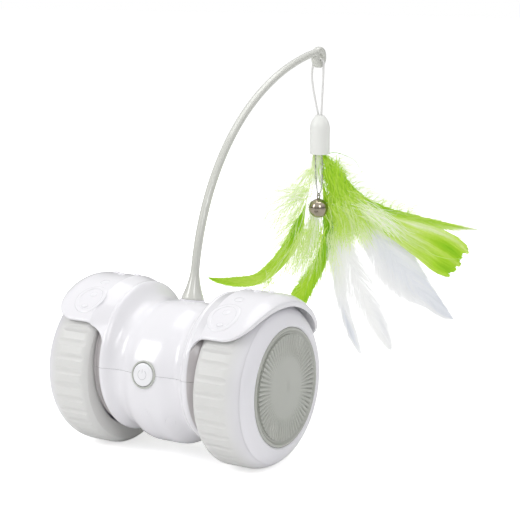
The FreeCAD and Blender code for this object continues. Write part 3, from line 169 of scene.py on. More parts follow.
# %% World
AMBIENT = 0.46
LOW_SKY, LOW_LEVEL = 0.12, 0.22
HIGH_SKY, HIGH_LEVEL = 0.6, 1.0
world = bpy.data.worlds.new("studio")
scene.world = world
world.use_nodes = True
tree = world.node_tree
tree.nodes.clear()
path = add(tree, "LightPath")
rays = [path.outputs["Is " + kind + " Ray"] for kind in ("Camera", "Glossy", "Transmission")]
direction = add(tree, "TexCoord")
height = add(tree, "SeparateXYZ")
wall = add(tree, "ValToRGB")
for point, spot, level in zip(wall.color_ramp.elements, (LOW_SKY, HIGH_SKY),
                              (LOW_LEVEL, HIGH_LEVEL)):
    point.position = spot
    point.color = (level, level, level, 1)
link(tree, direction.outputs["Generated"], height.inputs[0])
link(tree, height.outputs["Z"], wall.inputs[0])
dim = add(tree, "Background", {"Color": (1, 1, 1, 1), "Strength": AMBIENT})
bright = add(tree, "Background", {"Color": (1, 1, 1, 1)})
link(tree, chained(tree, "MAXIMUM", wall.outputs[0], rays[0]), bright.inputs["Strength"])
mixed = add(tree, "MixShader")
link(tree, chained(tree, "MAXIMUM", *rays), mixed.inputs[0])
link(tree, dim.outputs[0], mixed.inputs[1])
link(tree, bright.outputs[0], mixed.inputs[2])
link(tree, mixed.outputs[0], add(tree, "OutputWorld").inputs[0])
print("the world lights the toy at", AMBIENT)

# %% [markdown]
# ## Soft boxes
# Two soft boxes in front make the bright glints on the shell, the left one the stronger, and
# a large one overhead shapes the top. Area lamps are used, since their size sets how soft a
# glint and a shadow are.


# %% Soft boxes
def soft_box(name, where, size, power, aim):
    lamp = bpy.data.lights.new(name, "AREA")
    lamp.shape = "RECTANGLE"
    lamp.size, lamp.size_y = size
    lamp.energy = power
    item = bpy.data.objects.new(name, lamp)
    item.location = where
    item.rotation_mode = "QUATERNION"
    item.rotation_quaternion = (Vector(aim) - Vector(where)).to_track_quat("-Z", "Y")
    scene.collection.objects.link(item)


MIDDLE = (0.0, 0.02, 0.08)
soft_box("left_box", (-0.75, -0.85, 0.75), (0.4, 0.6), 5.0, MIDDLE)
soft_box("right_box", (0.95, -0.75, 0.85), (0.4, 0.6), 3.3, MIDDLE)
soft_box("top_box", (0.0, 0.3, 1.3), (1.0, 1.0), 6.5, MIDDLE)

# %% [markdown]
# ## Moulded plastic
# Nearly every hard piece is injection moulded. Such plastic is never quite even: its tone
# drifts a little over the piece and its skin has a fine grain. That effect is needed in many
# materials, so it is built once as a node group with a tone and a height, and each plastic
# sets how strong it is.


# %% Node group for moulded plastic
def new_group(name, inputs, outputs):
    """A node group with these sockets; returns its tree and its two end nodes."""
    tree = bpy.data.node_groups.new(name, "ShaderNodeTree")
    for label, kind, value in inputs:
        socket = tree.interface.new_socket(label, in_out="INPUT", socket_type="NodeSocket" + kind)
        socket.default_value = value
    for label, kind in outputs:
        tree.interface.new_socket(label, in_out="OUTPUT", socket_type="NodeSocket" + kind)
    return tree, tree.nodes.new("NodeGroupInput"), tree.nodes.new("NodeGroupOutput")


moulded, start, end = new_group(
    "moulded_skin",
    [("Colour", "Color", (0.8, 0.8, 0.8, 1)), ("Drift", "Float", 0.03),
     ("Grain", "Float", 4000.0)],
    [("Colour", "Color"), ("Height", "Float"), ("Roughness", "Float")])
where = add(moulded, "TexCoord")
broad = add(moulded, "TexNoise", {"Scale": 35.0, "Detail": 3.0})
fine = add(moulded, "TexNoise", {"Detail": 1.0})
for pattern in (broad, fine):
    link(moulded, where.outputs["Object"], pattern.inputs["Vector"])
link(moulded, start.outputs["Grain"], fine.inputs["Scale"])
shift = add(moulded, "Math", {1: 0.5}, operation="SUBTRACT")
link(moulded, broad.outputs[0], shift.inputs[0])
scaled = add(moulded, "Math", {2: 1.0}, operation="MULTIPLY_ADD")
link(moulded, shift.outputs[0], scaled.inputs[0])
link(moulded, start.outputs["Drift"], scaled.inputs[1])
toned = add(moulded, "VectorMath", operation="SCALE")
link(moulded, start.outputs["Colour"], toned.inputs[0])
link(moulded, scaled.outputs[0], toned.inputs["Scale"])
link(moulded, toned.outputs[0], end.inputs["Colour"])
link(moulded, fine.outputs[0], end.inputs["Height"])
link(moulded, broad.outputs[0], end.inputs["Roughness"])
print("the moulded skin has", len(moulded.nodes), "nodes")

# %% [markdown]
# ## Finishes of the body, wheels and wand
# The shells are glossy white, faintly lavender in the shade. The tyres are a frosted clear
# rubber over the white rims, so they look soft and milky: light enters them and comes out
# again a few millimetres on. The ribbed discs, the ring about the button and the wand are the
# same grey-green, in a satin finish. Each is one call that gives its colour and gloss.


# %% Plastic finishes
def plastic(name, colour, roughness, drift=0.03, grain=4000.0, depth=0.00002, **values):
    """A moulded plastic: its colour, gloss, how much its tone drifts and how deep its grain is."""
    made, tree, shader = new_material(name, Roughness=roughness, **values)
    skin = tree.nodes.new("ShaderNodeGroup")
    skin.node_tree = moulded
    for label, value in (("Colour", colour), ("Drift", drift), ("Grain", grain)):
        skin.inputs[label].default_value = value
    link(tree, skin.outputs["Colour"], shader.inputs["Base Color"])
    spread = add(tree, "MapRange", {"To Min": roughness * 0.88, "To Max": roughness * 1.12})
    link(tree, skin.outputs["Roughness"], spread.inputs["Value"])
    link(tree, spread.outputs[0], shader.inputs["Roughness"])
    bump = add(tree, "Bump", {"Strength": 0.3, "Distance": depth})
    link(tree, skin.outputs["Height"], bump.inputs["Height"])
    link(tree, bump.outputs[0], shader.inputs["Normal"])
    return made


FINISHES = {
    "shell_white": plastic("shell_gloss_white", srgb(240, 239, 243), 0.2, 0.012, 3000.0,
                           0.000004, Coat_Weight=0.25, Coat_Roughness=0.08),
    "button_white": plastic("button_white", srgb(243, 243, 246), 0.3, 0.012),
    "ring_grey": plastic("ring_grey", srgb(192, 195, 188), 0.32, 0.03),
    "rim_white": plastic("rim_satin_white", srgb(238, 237, 242), 0.3, 0.012),
    "hub_green_grey": plastic("hub_grey_green", srgb(179, 181, 174), 0.22, 0.02,
                              Coat_Weight=0.6, Coat_Roughness=0.1),
    "wand_grey": plastic("wand_grey", srgb(210, 211, 204), 0.26, 0.03, Coat_Weight=0.9,
                         Coat_Roughness=0.08),
    "cap_white": plastic("cap_milky_white", srgb(243, 244, 240), 0.28, 0.02),
    "plug_white": plastic("plug_white", srgb(222, 222, 214), 0.5),
    "gear_plastic": plastic("gear_ivory", srgb(226, 222, 205), 0.45),
    "inner_plastic": plastic("inner_grey", srgb(120, 122, 124), 0.5),
    "module_blue": plastic("module_blue", srgb(36, 62, 120), 0.45),
    "cell_sleeve": plastic("cell_sleeve", srgb(40, 96, 150), 0.35),
    "tyre_clear": plastic("tyre_frosted", srgb(225, 225, 223), 0.45, 0.02, 2500.0, 0.00004,
                          Subsurface_Weight=0.5, Subsurface_Scale=0.003,
                          Subsurface_Radius=(1.0, 1.0, 1.0)),
}
print(len(FINISHES), "plastics")

# %% [markdown]
# ## Finish by place
# Some pieces change their finish over their form: a step that lies in deep shade, which is painted
# darker, ribs that fade out, rubber that lies over a white rim. All of it is round about the axle,
# so three helpers give a point's place about the axle, make a soft-edged mask from a distance, and
# lay a second colour over the first through a mask.

# %% Places about the axle
TILT = math.radians(10)
AXLE_HEIGHT = 40.0


def leaned(x, y, z):
    """A place in the upright body, in mm from the middle of its axle, as the body leans."""
    return Vector((x, y * math.cos(TILT) + z * math.sin(TILT),
                   AXLE_HEIGHT - y * math.sin(TILT) + z * math.cos(TILT))) * MM


def about_axle(tree, lift=0.0):
    """Sockets of a point's place along X, its distance along X, and its place and distance
    across the axle, or across a line that lies lift mm above it in the body."""
    where = add(tree, "TexCoord")
    centred = add(tree, "VectorMath", {1: leaned(0, 0, lift)}, operation="SUBTRACT")
    parts = add(tree, "SeparateXYZ")
    out = add(tree, "Math", operation="ABSOLUTE")
    across = add(tree, "CombineXYZ")
    radius = add(tree, "VectorMath", operation="LENGTH")
    link(tree, where.outputs["Object"], centred.inputs[0])
    link(tree, centred.outputs[0], parts.inputs[0])
    link(tree, parts.outputs["X"], out.inputs[0])
    for axis in "YZ":
        link(tree, parts.outputs[axis], across.inputs[axis])
    link(tree, across.outputs[0], radius.inputs[0])
    return parts.outputs["X"], out.outputs[0], across.outputs[0], radius.outputs["Value"]


def fade(tree, value, clear, full):
    """A mask that is 0 where the value is clear and 1 where it is full."""
    ramp = add(tree, "MapRange", {"From Min": clear, "From Max": full})
    link(tree, value, ramp.inputs["Value"])
    return ramp.outputs[0]


def lay_colour(tree, mask, colour, blend="MIX"):
    """Lay a colour over the base colour, as far as the mask says."""
    base = tree.nodes["Principled BSDF"].inputs["Base Color"]
    mixed = add(tree, "Mix", {7: colour}, data_type="RGBA", blend_type=blend)
    link(tree, mask, mixed.inputs[0])
    link(tree, base.links[0].from_socket, mixed.inputs[6])
    link(tree, mixed.outputs[2], base)


print("the body leans by", round(math.degrees(TILT)), "degrees")

# %% [markdown]
# ## The step behind the shell's rim
# Behind the shell's rim a step leads inwards to the end wall, beside the wheel. It lies in deep
# shade between the body and the wheel, and that shade is painted into its colour. Painting it
# would need an image, so a mask by place takes down the colour of that step alone.

# %% Painted shade on the step behind the shell's rim
STEP_LIFT = 5.0
STEP_START, STEP_END, STEP_R = 0.0246, 0.0300, 0.0364
tree = FINISHES["shell_white"].node_tree
_, out, _, radius = about_axle(tree, STEP_LIFT)
# Painted shade: the step's colour is multiplied by a darker grey.
mask = chained(tree, "MULTIPLY", fade(tree, out, STEP_START, STEP_START + 0.0006),
               fade(tree, radius, STEP_R + 0.0003, STEP_R - 0.0002),
               fade(tree, out, STEP_END + 0.0003, STEP_END))
lay_colour(tree, mask, srgb(206, 202, 200), "MULTIPLY")
print("the step is", round((STEP_END - STEP_START) / MM, 1), "mm wide")

# %% [markdown]
# ## The middle of the hub covers
# The ribs of a hub cover fade into its shallow dome, and the middle is smooth. The model's
# triangles are long and thin there and would shade in patches. So the material works out which
# way the plain dome faces, and uses that in the middle, inside the ribs.

# %% Even dome in the middle of the hub covers
DOME_RISE, DOME_R = 0.00075, 0.0245
RIBS_START, RIBS_CLEAR = 0.0125, 0.0155
tree = FINISHES["hub_green_grey"].node_tree
place, _, across, radius = about_axle(tree)
side = add(tree, "Math", operation="SIGN")
outwards = add(tree, "CombineXYZ")
slope = add(tree, "VectorMath", {"Scale": 2 * DOME_RISE / DOME_R ** 2}, operation="SCALE")
dome = add(tree, "VectorMath", operation="ADD")
turned = add(tree, "VectorTransform", vector_type="NORMAL", convert_from="OBJECT",
             convert_to="WORLD")
skin = add(tree, "NewGeometry")
faded = add(tree, "Mix", data_type="VECTOR")
link(tree, place, side.inputs[0])
link(tree, side.outputs[0], outwards.inputs["X"])
link(tree, across, slope.inputs[0])
link(tree, outwards.outputs[0], dome.inputs[0])
link(tree, slope.outputs[0], dome.inputs[1])
link(tree, dome.outputs[0], turned.inputs[0])
link(tree, fade(tree, radius, RIBS_START, RIBS_CLEAR), faded.inputs[0])
link(tree, turned.outputs[0], faded.inputs[4])
link(tree, skin.outputs["Normal"], faded.inputs[5])
link(tree, faded.outputs[1], tree.nodes["Bump"].inputs["Normal"])
print("the ribs fade out at", RIBS_CLEAR / MM, "mm")

# %% [markdown]
# ## Tyres over the rims
# In the photograph the clear tyre takes up the tone of the white rim towards its outer edge.
# A tyre that is clear in the render too would be slower and noisier, so the tone is laid on by
# place.

# %% Tyres over the rims
TREAD_END, RIM_EDGE = 0.0475, 0.0535
tree = FINISHES["tyre_clear"].node_tree
_, out, _, _ = about_axle(tree)
lay_colour(tree, fade(tree, out, TREAD_END, RIM_EDGE), srgb(234, 233, 238))
print("the tyres whiten over", round((RIM_EDGE - TREAD_END) / MM, 1), "mm")

# %% [markdown]
# ## Metals and the circuit board
# The bell is nickel plated: bright, with a faint warm cast and very fine polishing lines.
# The pins, shafts and weights inside are plain steel. The board is green lacquer. Stretched
# noise gives the lines, both as an uneven gloss and as a very low bump.


# %% Metal finishes
def metal(name, colour, roughness, lines=900.0, depth=0.000002):
    """A plated or turned metal, with fine lines across it."""
    made, tree, shader = new_material(name, Base_Color=colour, Metallic=1.0, Roughness=roughness)
    where = add(tree, "TexCoord")
    stretch = add(tree, "Mapping", {"Scale": (1, 1, 12)})
    streaks = add(tree, "TexNoise", {"Scale": lines, "Detail": 2.0})
    link(tree, where.outputs["Object"], stretch.inputs["Vector"])
    link(tree, stretch.outputs[0], streaks.inputs["Vector"])
    spread = add(tree, "MapRange", {"To Min": roughness * 0.7, "To Max": roughness * 1.3})
    link(tree, streaks.outputs[0], spread.inputs["Value"])
    link(tree, spread.outputs[0], shader.inputs["Roughness"])
    bump = add(tree, "Bump", {"Strength": 0.2, "Distance": depth})
    link(tree, streaks.outputs[0], bump.inputs["Height"])
    link(tree, bump.outputs[0], shader.inputs["Normal"])
    return made


FINISHES.update({
    "bell_nickel": metal("bell_nickel", srgb(168, 158, 142), 0.12),
    "steel": metal("steel", srgb(190, 190, 188), 0.3),
    "weight_steel": metal("weight_steel", srgb(150, 150, 150), 0.45, 300.0),
    "bronze": metal("bronze", srgb(190, 150, 96), 0.35),
    "board_green": plastic("board_green", srgb(28, 92, 56), 0.35, Coat_Weight=0.4),
})

# %% [markdown]
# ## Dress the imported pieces
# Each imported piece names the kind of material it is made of. Those names are the keys of the
# table of finishes, so one loop dresses them all. Feathers and cords have no finish in the
# table, because pieces made further on take their place.

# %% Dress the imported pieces
slots = {part["node"]: part["material_slot"] for part in frame["record"]["subparts"]}
dressed = 0
for node, item in frame["nodes"].items():
    item.data.materials.clear()
    if slots[node] in FINISHES:
        item.data.materials.append(FINISHES[slots[node]])
        dressed += 1
print("dressed", dressed, "of", len(slots), "packed pieces")

# %% [markdown]
# ## Relief on the fenders
# Each fender carries a low relief in the same plastic: an oval ring with two studs in it, and
# four studs on the way up. They are modelled flat, as mm along X, mm round the fender and mm of
# height, and then laid on the fender, since a flat shape is easy to make and to change. Their
# edges sink just below the fender's skin.

# %% Lay a flat shape on a fender
FENDER_R = 43.5


def on_fender(side, x, angle, arc, height):
    """The place x mm out, at an angle up from the front plus mm round it, over the fender."""
    turn = math.radians(angle) + arc / FENDER_R
    return leaned(side * x, -(FENDER_R + height) * math.cos(turn),
                  (FENDER_R + height) * math.sin(turn))


def stud(mesh, side, x, angle, half_x, half_arc, height):
    """A low round boss."""
    made = bmesh.ops.create_uvsphere(mesh, u_segments=32, v_segments=16, radius=1)
    for vert in made["verts"]:
        p, q, r = vert.co
        vert.co = on_fender(side, x + half_x * p, angle, half_arc * q, height * r)


def spun_line(mesh, ring_radius, line_radius, segments, steps, turn, **values):
    """A round line about Z, in the plane of X and Y, over that turn."""
    upright = Matrix.Translation((ring_radius, 0, 0)) @ Matrix.Rotation(math.pi / 2, 4, "X")
    circle = bmesh.ops.create_circle(mesh, segments=segments, radius=line_radius,
                                     matrix=upright)["verts"]
    edges = list({edge for vert in circle for edge in vert.link_edges})
    bmesh.ops.spin(mesh, geom=circle + edges, cent=(0, 0, 0), axis=(0, 0, 1), angle=turn,
                   steps=steps, **values)


def oval_ring(mesh, side, x, angle, half_x, half_arc, width, height):
    """A low ridge along an oval: a ring of radius 1, stretched."""
    spun_line(mesh, 1, 0.5, 12, 72, 2 * math.pi, use_merge=True)
    for vert in mesh.verts:
        p, q, r = vert.co
        out = math.hypot(p, q)
        vert.co = on_fender(side, x + p / out * (half_x + (out - 1) * width), angle,
                            q / out * (half_arc + (out - 1) * width), height * 2 * r)


print("a degree of the fender is", round(math.radians(1) * FENDER_R, 2), "mm")

# %% [markdown]
# ## New pieces
# Every piece that is modelled here ends the same way: its mesh gets a material and smooth shading,
# the piece rides one of the moving bodies, and the imported pieces that it stands for, if any, are
# hidden. A helper does that once for all.


# %% Place a new piece
def place_piece(mesh, name, material, body, slot, *replaced):
    """A smooth piece made from the mesh, which rides a body."""
    data = bpy.data.meshes.new(name)
    mesh.to_mesh(data)
    mesh.free()
    data.materials.append(material)
    for face in data.polygons:
        face.use_smooth = True
    item = bpy.data.objects.new(name, data)
    scene.collection.objects.link(item)
    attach(item, body)
    if replaced:
        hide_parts(*replaced)
    print(name, "has", len(data.polygons), "faces")
    return item


# %% Reliefs
RING = (38, 46.8, 6.8, 8, 2.2, 0.2)
STUDS = [(38, 50.5, 1.9, 1.9, 0.35), (38.6, 40, 1.9, 1.1, 0.6), (38.6, 65, 2.3, 2.3, 0.45),
         (39.5, 84.5, 2, 2, 0.7), (32.5, 89, 1.7, 1.8, 0.7), (45, 89, 1.8, 1.8, 0.7)]
for side, label in ((1, "right"), (-1, "left")):
    mesh = bmesh.new()
    oval_ring(mesh, side, *RING)
    for sizes in STUDS:
        stud(mesh, side, *sizes)
    bmesh.ops.recalc_face_normals(mesh, faces=mesh.faces)
    place_piece(mesh, label + "_fender_relief", FINISHES["shell_white"], "chassis", "shell_white")

# %% [markdown]
# ## Crease in the lower shell
# A short crease runs down the lower shell, below the button. It is a sphere drawn out to a thin
# sliver and bent about the shell, so that it comes and goes without an edge.

# %% Crease in the lower shell
SHELL_R = 34.5
CREASE_X, CREASE_ANGLE, CREASE_SLANT = 1.5, math.radians(-37), 1.3
CREASE_HALF_WIDTH, CREASE_HALF_LENGTH, CREASE_HEIGHT = 0.2, 5.8, 0.12
mesh = bmesh.new()
made = bmesh.ops.create_uvsphere(mesh, u_segments=12, v_segments=24, radius=1)
for vert in made["verts"]:
    p, r, q = vert.co
    turn = CREASE_ANGLE + CREASE_HALF_LENGTH * q / SHELL_R
    out = SHELL_R + 0.02 + CREASE_HEIGHT * r
    vert.co = leaned(CREASE_X + CREASE_HALF_WIDTH * p - CREASE_SLANT * q,
                     -out * math.cos(turn), out * math.sin(turn))
bmesh.ops.recalc_face_normals(mesh, faces=mesh.faces)
place_piece(mesh, "lower_shell_crease", FINISHES["shell_white"], "chassis", "shell_white")

# %% [markdown]
# ## Sign on the button
# The plain power sign, an open circle with a bar, is faintly printed on the domed button. It is
# modelled as a flat line and laid on the dome. How the dome falls off is measured on the packed
# button, so that the sign lies on it at any size.

# %% The button's dome
bpy.context.view_layer.update()
button = frame["nodes"]["power_button"]
profile = []
for vert in button.data.vertices:
    x, y, z = button.matrix_world @ vert.co / MM
    z -= AXLE_HEIGHT
    profile.append((math.hypot(x, y * math.sin(TILT) + z * math.cos(TILT)),
                    y * math.cos(TILT) - z * math.sin(TILT)))
button_front = min(y for _, y in profile)
falls = [(y - button_front) / r ** 2 for r, y in profile if 3 < r < 5 and y < button_front + 1]
BUTTON_FALL = sum(falls) / max(len(falls), 1)
print("the button's front is at", round(button_front, 2), "and falls", round(BUTTON_FALL, 4))

# %% Power sign
SIGN_R, SIGN_LINE, OPENING = 2.3, 0.34, math.radians(70)
BAR_STRETCH, BAR_UP, PRINT_RISE = 6.5, 0.75, 0.3
mesh = bmesh.new()
spun_line(mesh, SIGN_R, SIGN_LINE / 2, 10, 40, 2 * math.pi - OPENING)
bmesh.ops.holes_fill(mesh, edges=mesh.edges)
opening_up = Matrix.Rotation((math.pi + OPENING) / 2, 3, "Z")
bmesh.ops.rotate(mesh, verts=mesh.verts, cent=(0, 0, 0), matrix=opening_up)
bar = bmesh.ops.create_uvsphere(mesh, u_segments=16, v_segments=10, radius=SIGN_LINE / 2)["verts"]
for vert in bar:
    vert.co.y = vert.co.y * BAR_STRETCH + SIGN_R * BAR_UP
for vert in mesh.verts:
    x, z, rise = vert.co
    vert.co = leaned(x, button_front + BUTTON_FALL * (x * x + z * z) - PRINT_RISE * rise, z)
bmesh.ops.recalc_face_normals(mesh, faces=mesh.faces)
sign_grey = plastic("sign_grey", srgb(208, 209, 212), 0.4)
place_piece(mesh, "power_sign", sign_grey, "button", "ring_grey")

# %% [markdown]
# ## Places given by the photograph
# The feathers are too tangled to describe by plain dimensions. Their lines were read from the
# photograph instead: a point is a picture position and a depth behind the cap's mouth. The
# camera turns that into a place in space.

# %% From a picture position to a place in space
PICTURE = 520
FOCAL = LENS / SENSOR * PICTURE
RIGHTWARDS = Vector((math.cos(AZIMUTH), math.sin(AZIMUTH), 0))
BACKWARDS = Vector((-math.sin(AZIMUTH), math.cos(AZIMUTH), 0))
UPWARDS = RIGHTWARDS.cross(-towards_camera)
MOUTH = Vector((1.0, 131.9814, 132.484)) * MM


def seen_at(u, v, back):
    """The place that shows at u, v in the picture and lies back mm behind the cap's mouth."""
    ray = -towards_camera * FOCAL + RIGHTWARDS * (u - PICTURE / 2) - UPWARDS * (v - PICTURE / 2)
    eye = camera.location
    share = ((MOUTH - eye).dot(BACKWARDS) + back * MM) / ray.dot(BACKWARDS)
    return eye + ray * share


def flowing(rows, share):
    """The row at a share from 0 to 1 of a table, on a smooth curve through all its rows."""
    place = min(max(share, 0.0), 1.0) * (len(rows) - 1)
    first = min(int(place), len(rows) - 2)
    rest = place - first
    before, a, b, after = (rows[min(max(first + k, 0), len(rows) - 1)] for k in (-1, 0, 1, 2))
    out = []
    for p, q, r, s in zip(before, a, b, after):
        out.append(0.5 * (2 * q + (r - p) * rest + (2 * p - 5 * q + 4 * r - s) * rest ** 2
                          + (3 * q - p - 3 * r + s) * rest ** 3))
    return out


def on_vane(rows, share, across, lift):
    """The place at a share of a feather's length, from -1 to 1 across it, and lift mm behind."""
    u, v, back, left, right = flowing(rows, share)
    a, b = flowing(rows, share - 0.01), flowing(rows, share + 0.01)
    way = Vector((b[0] - a[0], b[1] - a[1])).normalized()
    out = across * (right if across > 0 else left)
    return seen_at(u - way.y * out, v + way.x * out, back + lift)


print("the cap's mouth is", round((MOUTH - camera.location).length, 3), "from the camera")

# %% [markdown]
# ## Barbs
# A feather is a quill with hundreds of barbs. Each barb here is a narrow strip of four runs. All
# barbs of a feather are two rows each of one large grid: the faces between one barb and the
# next go, and the points that are left move onto the barbs' curves. How pale a barb is is
# stored on its points, and the feather's colour is made from that. Real hair strands would not
# reach the exported model, and a flat picture of a feather would not look right from the side.

# %% Barbs
RUNS = 4


def add_barb(vane, line, widths, facing, tints):
    """A strip along five places, as wide at each as given, turned to face one way."""
    vane.append((line, widths, facing, tints))


def finish_vane(vane, name, material, slot, *replaced):
    """One piece made of all barbs in the list."""
    rows = 2 * len(vane)
    mesh = bmesh.new()
    tint = mesh.verts.layers.float.new("tint")
    bmesh.ops.create_grid(mesh, x_segments=RUNS, y_segments=rows - 1, size=1)
    apart = [face for face in mesh.faces
             if int((face.calc_center_median().y + 1) / 2 * (rows - 1)) % 2]
    bmesh.ops.delete(mesh, geom=apart, context="FACES")
    for vert in mesh.verts:
        k = round((vert.co.x + 1) / 2 * RUNS)
        row = round((vert.co.y + 1) / 2 * (rows - 1))
        line, widths, facing, tints = vane[row // 2]
        across = (line[min(k + 1, RUNS)] - line[max(k - 1, 0)]).cross(facing)
        if across.length > 0:
            across.normalize()
        vert.co = line[k] + across * ((row % 2 - 0.5) * widths[k])
        vert[tint] = tints[k]
    return place_piece(mesh, name, material, "toy", slot, *replaced)


# %% [markdown]
# ## Feather colours
# One ramp turns the stored paleness into a dyed green, from deep to nearly white, as the dye takes
# less on the down. A second turns it into the cool greys of the white feathers, which are painted
# shade on white barbs. Both also glow faintly in their own colour: this is painted light that
# stands in for light shining through the feathers and lifts the shade among the barbs.


# %% Feather colours
# The emission is painted light: each feather glows in its own colour, which lifts the shade among
# its barbs.
def feather_finish(name, stops, glow):
    made, tree, shader = new_material(name, Roughness=0.6, Specular_IOR_Level=0.25,
                                      Sheen_Weight=0.15, Emission_Strength=glow)
    stored = add(tree, "Attribute", attribute_name="tint")
    where = add(tree, "TexCoord")
    fleck = add(tree, "TexNoise", {"Scale": 900.0, "Detail": 2.0})
    link(tree, where.outputs["Object"], fleck.inputs["Vector"])
    mix = add(tree, "Math", {1: 0.1}, operation="MULTIPLY_ADD")
    link(tree, fleck.outputs[0], mix.inputs[0])
    link(tree, stored.outputs["Fac"], mix.inputs[2])
    ramp = add(tree, "ValToRGB")
    points = ramp.color_ramp.elements
    while len(points) < len(stops):
        points.new(0.5)
    for point, (spot, colour) in zip(points, stops):
        point.position = spot
        point.color = srgb(*colour)
    link(tree, mix.outputs[0], ramp.inputs[0])
    link(tree, ramp.outputs[0], shader.inputs["Base Color"])
    link(tree, ramp.outputs[0], shader.inputs["Emission Color"])
    return made


GREEN = feather_finish("feather_lime", [
    (0.0, (112, 180, 12)), (0.25, (146, 204, 24)), (0.5, (176, 219, 48)),
    (0.7, (200, 229, 98)), (0.88, (226, 240, 182)), (1.0, (246, 250, 238))], 0.13)
WHITE = feather_finish("feather_white", [
    (0.0, (212, 216, 219)), (0.5, (235, 237, 242)), (1.0, (254, 254, 254))], 0.1)
print("two feather colours")

# %% [markdown]
# ## Vanes
# A table gives a feather's quill from root to tip, with how wide the vane is on each side.
# Barbs leave the quill all along and sweep towards the tip, as real ones do. Neighbours cling
# together in tufts, and here and there one strays. Smooth noise along the feather makes the
# tufts, and a seeded random source the rest, so that each run gives the same feather.


# %% A feather from its table
TUFTS, SLIPS = 38, 130


def feather(rows, sweep, barbs, tone, ragged, seed, stray, width=0.5, layers=2.0, start=0.0,
            taper=0.75):
    """rows: (u, v, depth, left, right), all in picture steps but the depth. tone(s, across)
    gives the paleness. sweep is how far along the feather a barb runs while it goes out."""
    rng = random.Random(seed)
    vane = []
    for k in range(barbs):
        share = start + (1 - start) * (k + rng.random()) / barbs
        for side in (-1, 1):
            tuft = noise.noise(Vector((share * TUFTS, side * 7.1, seed * 3.3)))
            slip = noise.noise(Vector((share * SLIPS, side * 3.7, seed * 9.1)))
            length = 1 + ragged * (tuft * 1.6 + slip * 0.8 + rng.uniform(-0.5, 0.5))
            if rng.random() < stray:
                length *= rng.uniform(1.05, 1.5)
            run = sweep * (1 + 0.35 * tuft + rng.uniform(-0.12, 0.12))
            lift = layers * (rng.uniform(-0.5, 0.5) + 0.8 * tuft)
            line, tints, widths = [], [], []
            for j in range(RUNS + 1):
                out = j / RUNS
                line.append(on_vane(rows, share + run * out * (1 - 0.3 * out),
                                    side * length * out ** 0.85 + 0.02 * slip, lift * out))
                tints.append(tone(share + run * out, side * out)
                             + 0.16 * tuft + 0.1 * slip + rng.uniform(-0.07, 0.07))
                widths.append(width * MM * (1.05 - taper * out))
            facing = (-BACKWARDS + RIGHTWARDS * rng.uniform(-0.45, 0.45)
                      + UPWARDS * rng.uniform(-0.35, 0.35))
            add_barb(vane, line, widths, facing, tints)
    return vane, rng


# %% [markdown]
# ## Hairs, quills and strands
# Three more kinds of strip fill a feather out. Loose hairs run from about one place to about
# another and make down and soft edges. A quill is a row of slim strips, turned three ways so
# that it shows from every side. Strands run along the feather and end in ragged fingers, as
# the barbs of a worn fan do.


# %% Loose hairs
def add_hairs(vane, rng, count, start, end, bend, tint, width, spread):
    """Fine hairs from about one place to about another; start and end are (u, v, depth)."""
    for _ in range(count):
        a = [p + rng.gauss(0, 1) * spread[0] * s for p, s in zip(start, (1, 1, 0.5))]
        b = [p + rng.gauss(0, 1) * spread[1] * s for p, s in zip(end, (1, 1, 0.5))]
        side = bend * rng.uniform(0.5, 1.5) + rng.gauss(0, 2)
        across = Vector((b[1] - a[1], a[0] - b[0]))
        across.normalize()
        shade = tint + rng.uniform(-0.12, 0.08)
        shares = [j / RUNS for j in range(RUNS + 1)]
        line = []
        for t in shares:
            bow = side * 4 * t * (1 - t)
            line.append(seen_at(a[0] + (b[0] - a[0]) * t + across.x * bow,
                                a[1] + (b[1] - a[1]) * t + across.y * bow,
                                a[2] + (b[2] - a[2]) * t))
        widths = [width * MM * rng.uniform(0.7, 1.3) * (1 - 0.7 * t) for t in shares]
        facing = -BACKWARDS + UPWARDS * rng.uniform(-0.5, 0.5)
        add_barb(vane, line, widths, facing, [shade + 0.1 * t for t in shares])


# %% Quills
def add_quill(vane, rows, first, last, width, tint, parts=4):
    """The bare shaft of a feather, from one share of its length to another."""
    steps = parts * RUNS
    line = []
    for k in range(steps + 1):
        u, v, back = flowing(rows, first + (last - first) * k / steps)[:3]
        line.append(seen_at(u, v, back - 0.6))
    for part in range(parts):
        span = range(part * RUNS, part * RUNS + RUNS + 1)
        widths = [width * MM * (1 - 0.75 * k / steps) for k in span]
        for facing in (-BACKWARDS, RIGHTWARDS, UPWARDS * 0.6 - BACKWARDS):
            add_barb(vane, [line[k] for k in span], widths, facing, [tint] * len(span))


# %% Strands
def add_strands(vane, rng, rows, count, tone, width, starts, reach, fingers):
    """Barbs that run along a feather's own lines and end in ragged fingers."""
    for _ in range(count):
        side = rng.uniform(-1, 1)
        first = rng.uniform(*starts)
        comb = noise.noise(Vector((side * fingers, 0.5, 3.1)))
        last = min(first + reach * rng.uniform(0.6, 1.2),
                   0.965 + 0.06 * comb + rng.uniform(-0.02, 0.015))
        lift = rng.uniform(-0.8, 0.8)
        slip = rng.uniform(-0.05, 0.05)
        line, tints, widths = [], [], []
        for j in range(RUNS + 1):
            share = first + (last - first) * j / RUNS
            place = side + slip * j / RUNS
            line.append(on_vane(rows, share, place, lift))
            tints.append(tone(share, place) + 0.1 * comb + rng.uniform(-0.06, 0.06))
            widths.append(width * MM * (0.5 + 1.6 * j / RUNS * (1.15 - j / RUNS)))
        facing = (-BACKWARDS + RIGHTWARDS * rng.uniform(-0.4, 0.4)
                  + UPWARDS * rng.uniform(-0.4, 0.4))
        add_barb(vane, line, widths, facing, tints)


def near(value, middle, reach):
    """1 at the middle, falling to 0 at that reach."""
    return max(0.0, 1 - abs(value - middle) / reach)


# %% [markdown]
# ## Left green feather
# A dyed feather curves far out to the left. It is the deepest green where it turns, and pale
# fringes fall from its root and its underside. The table is its curve, the tone function says
# where it is deep, and hairs make the fringes.

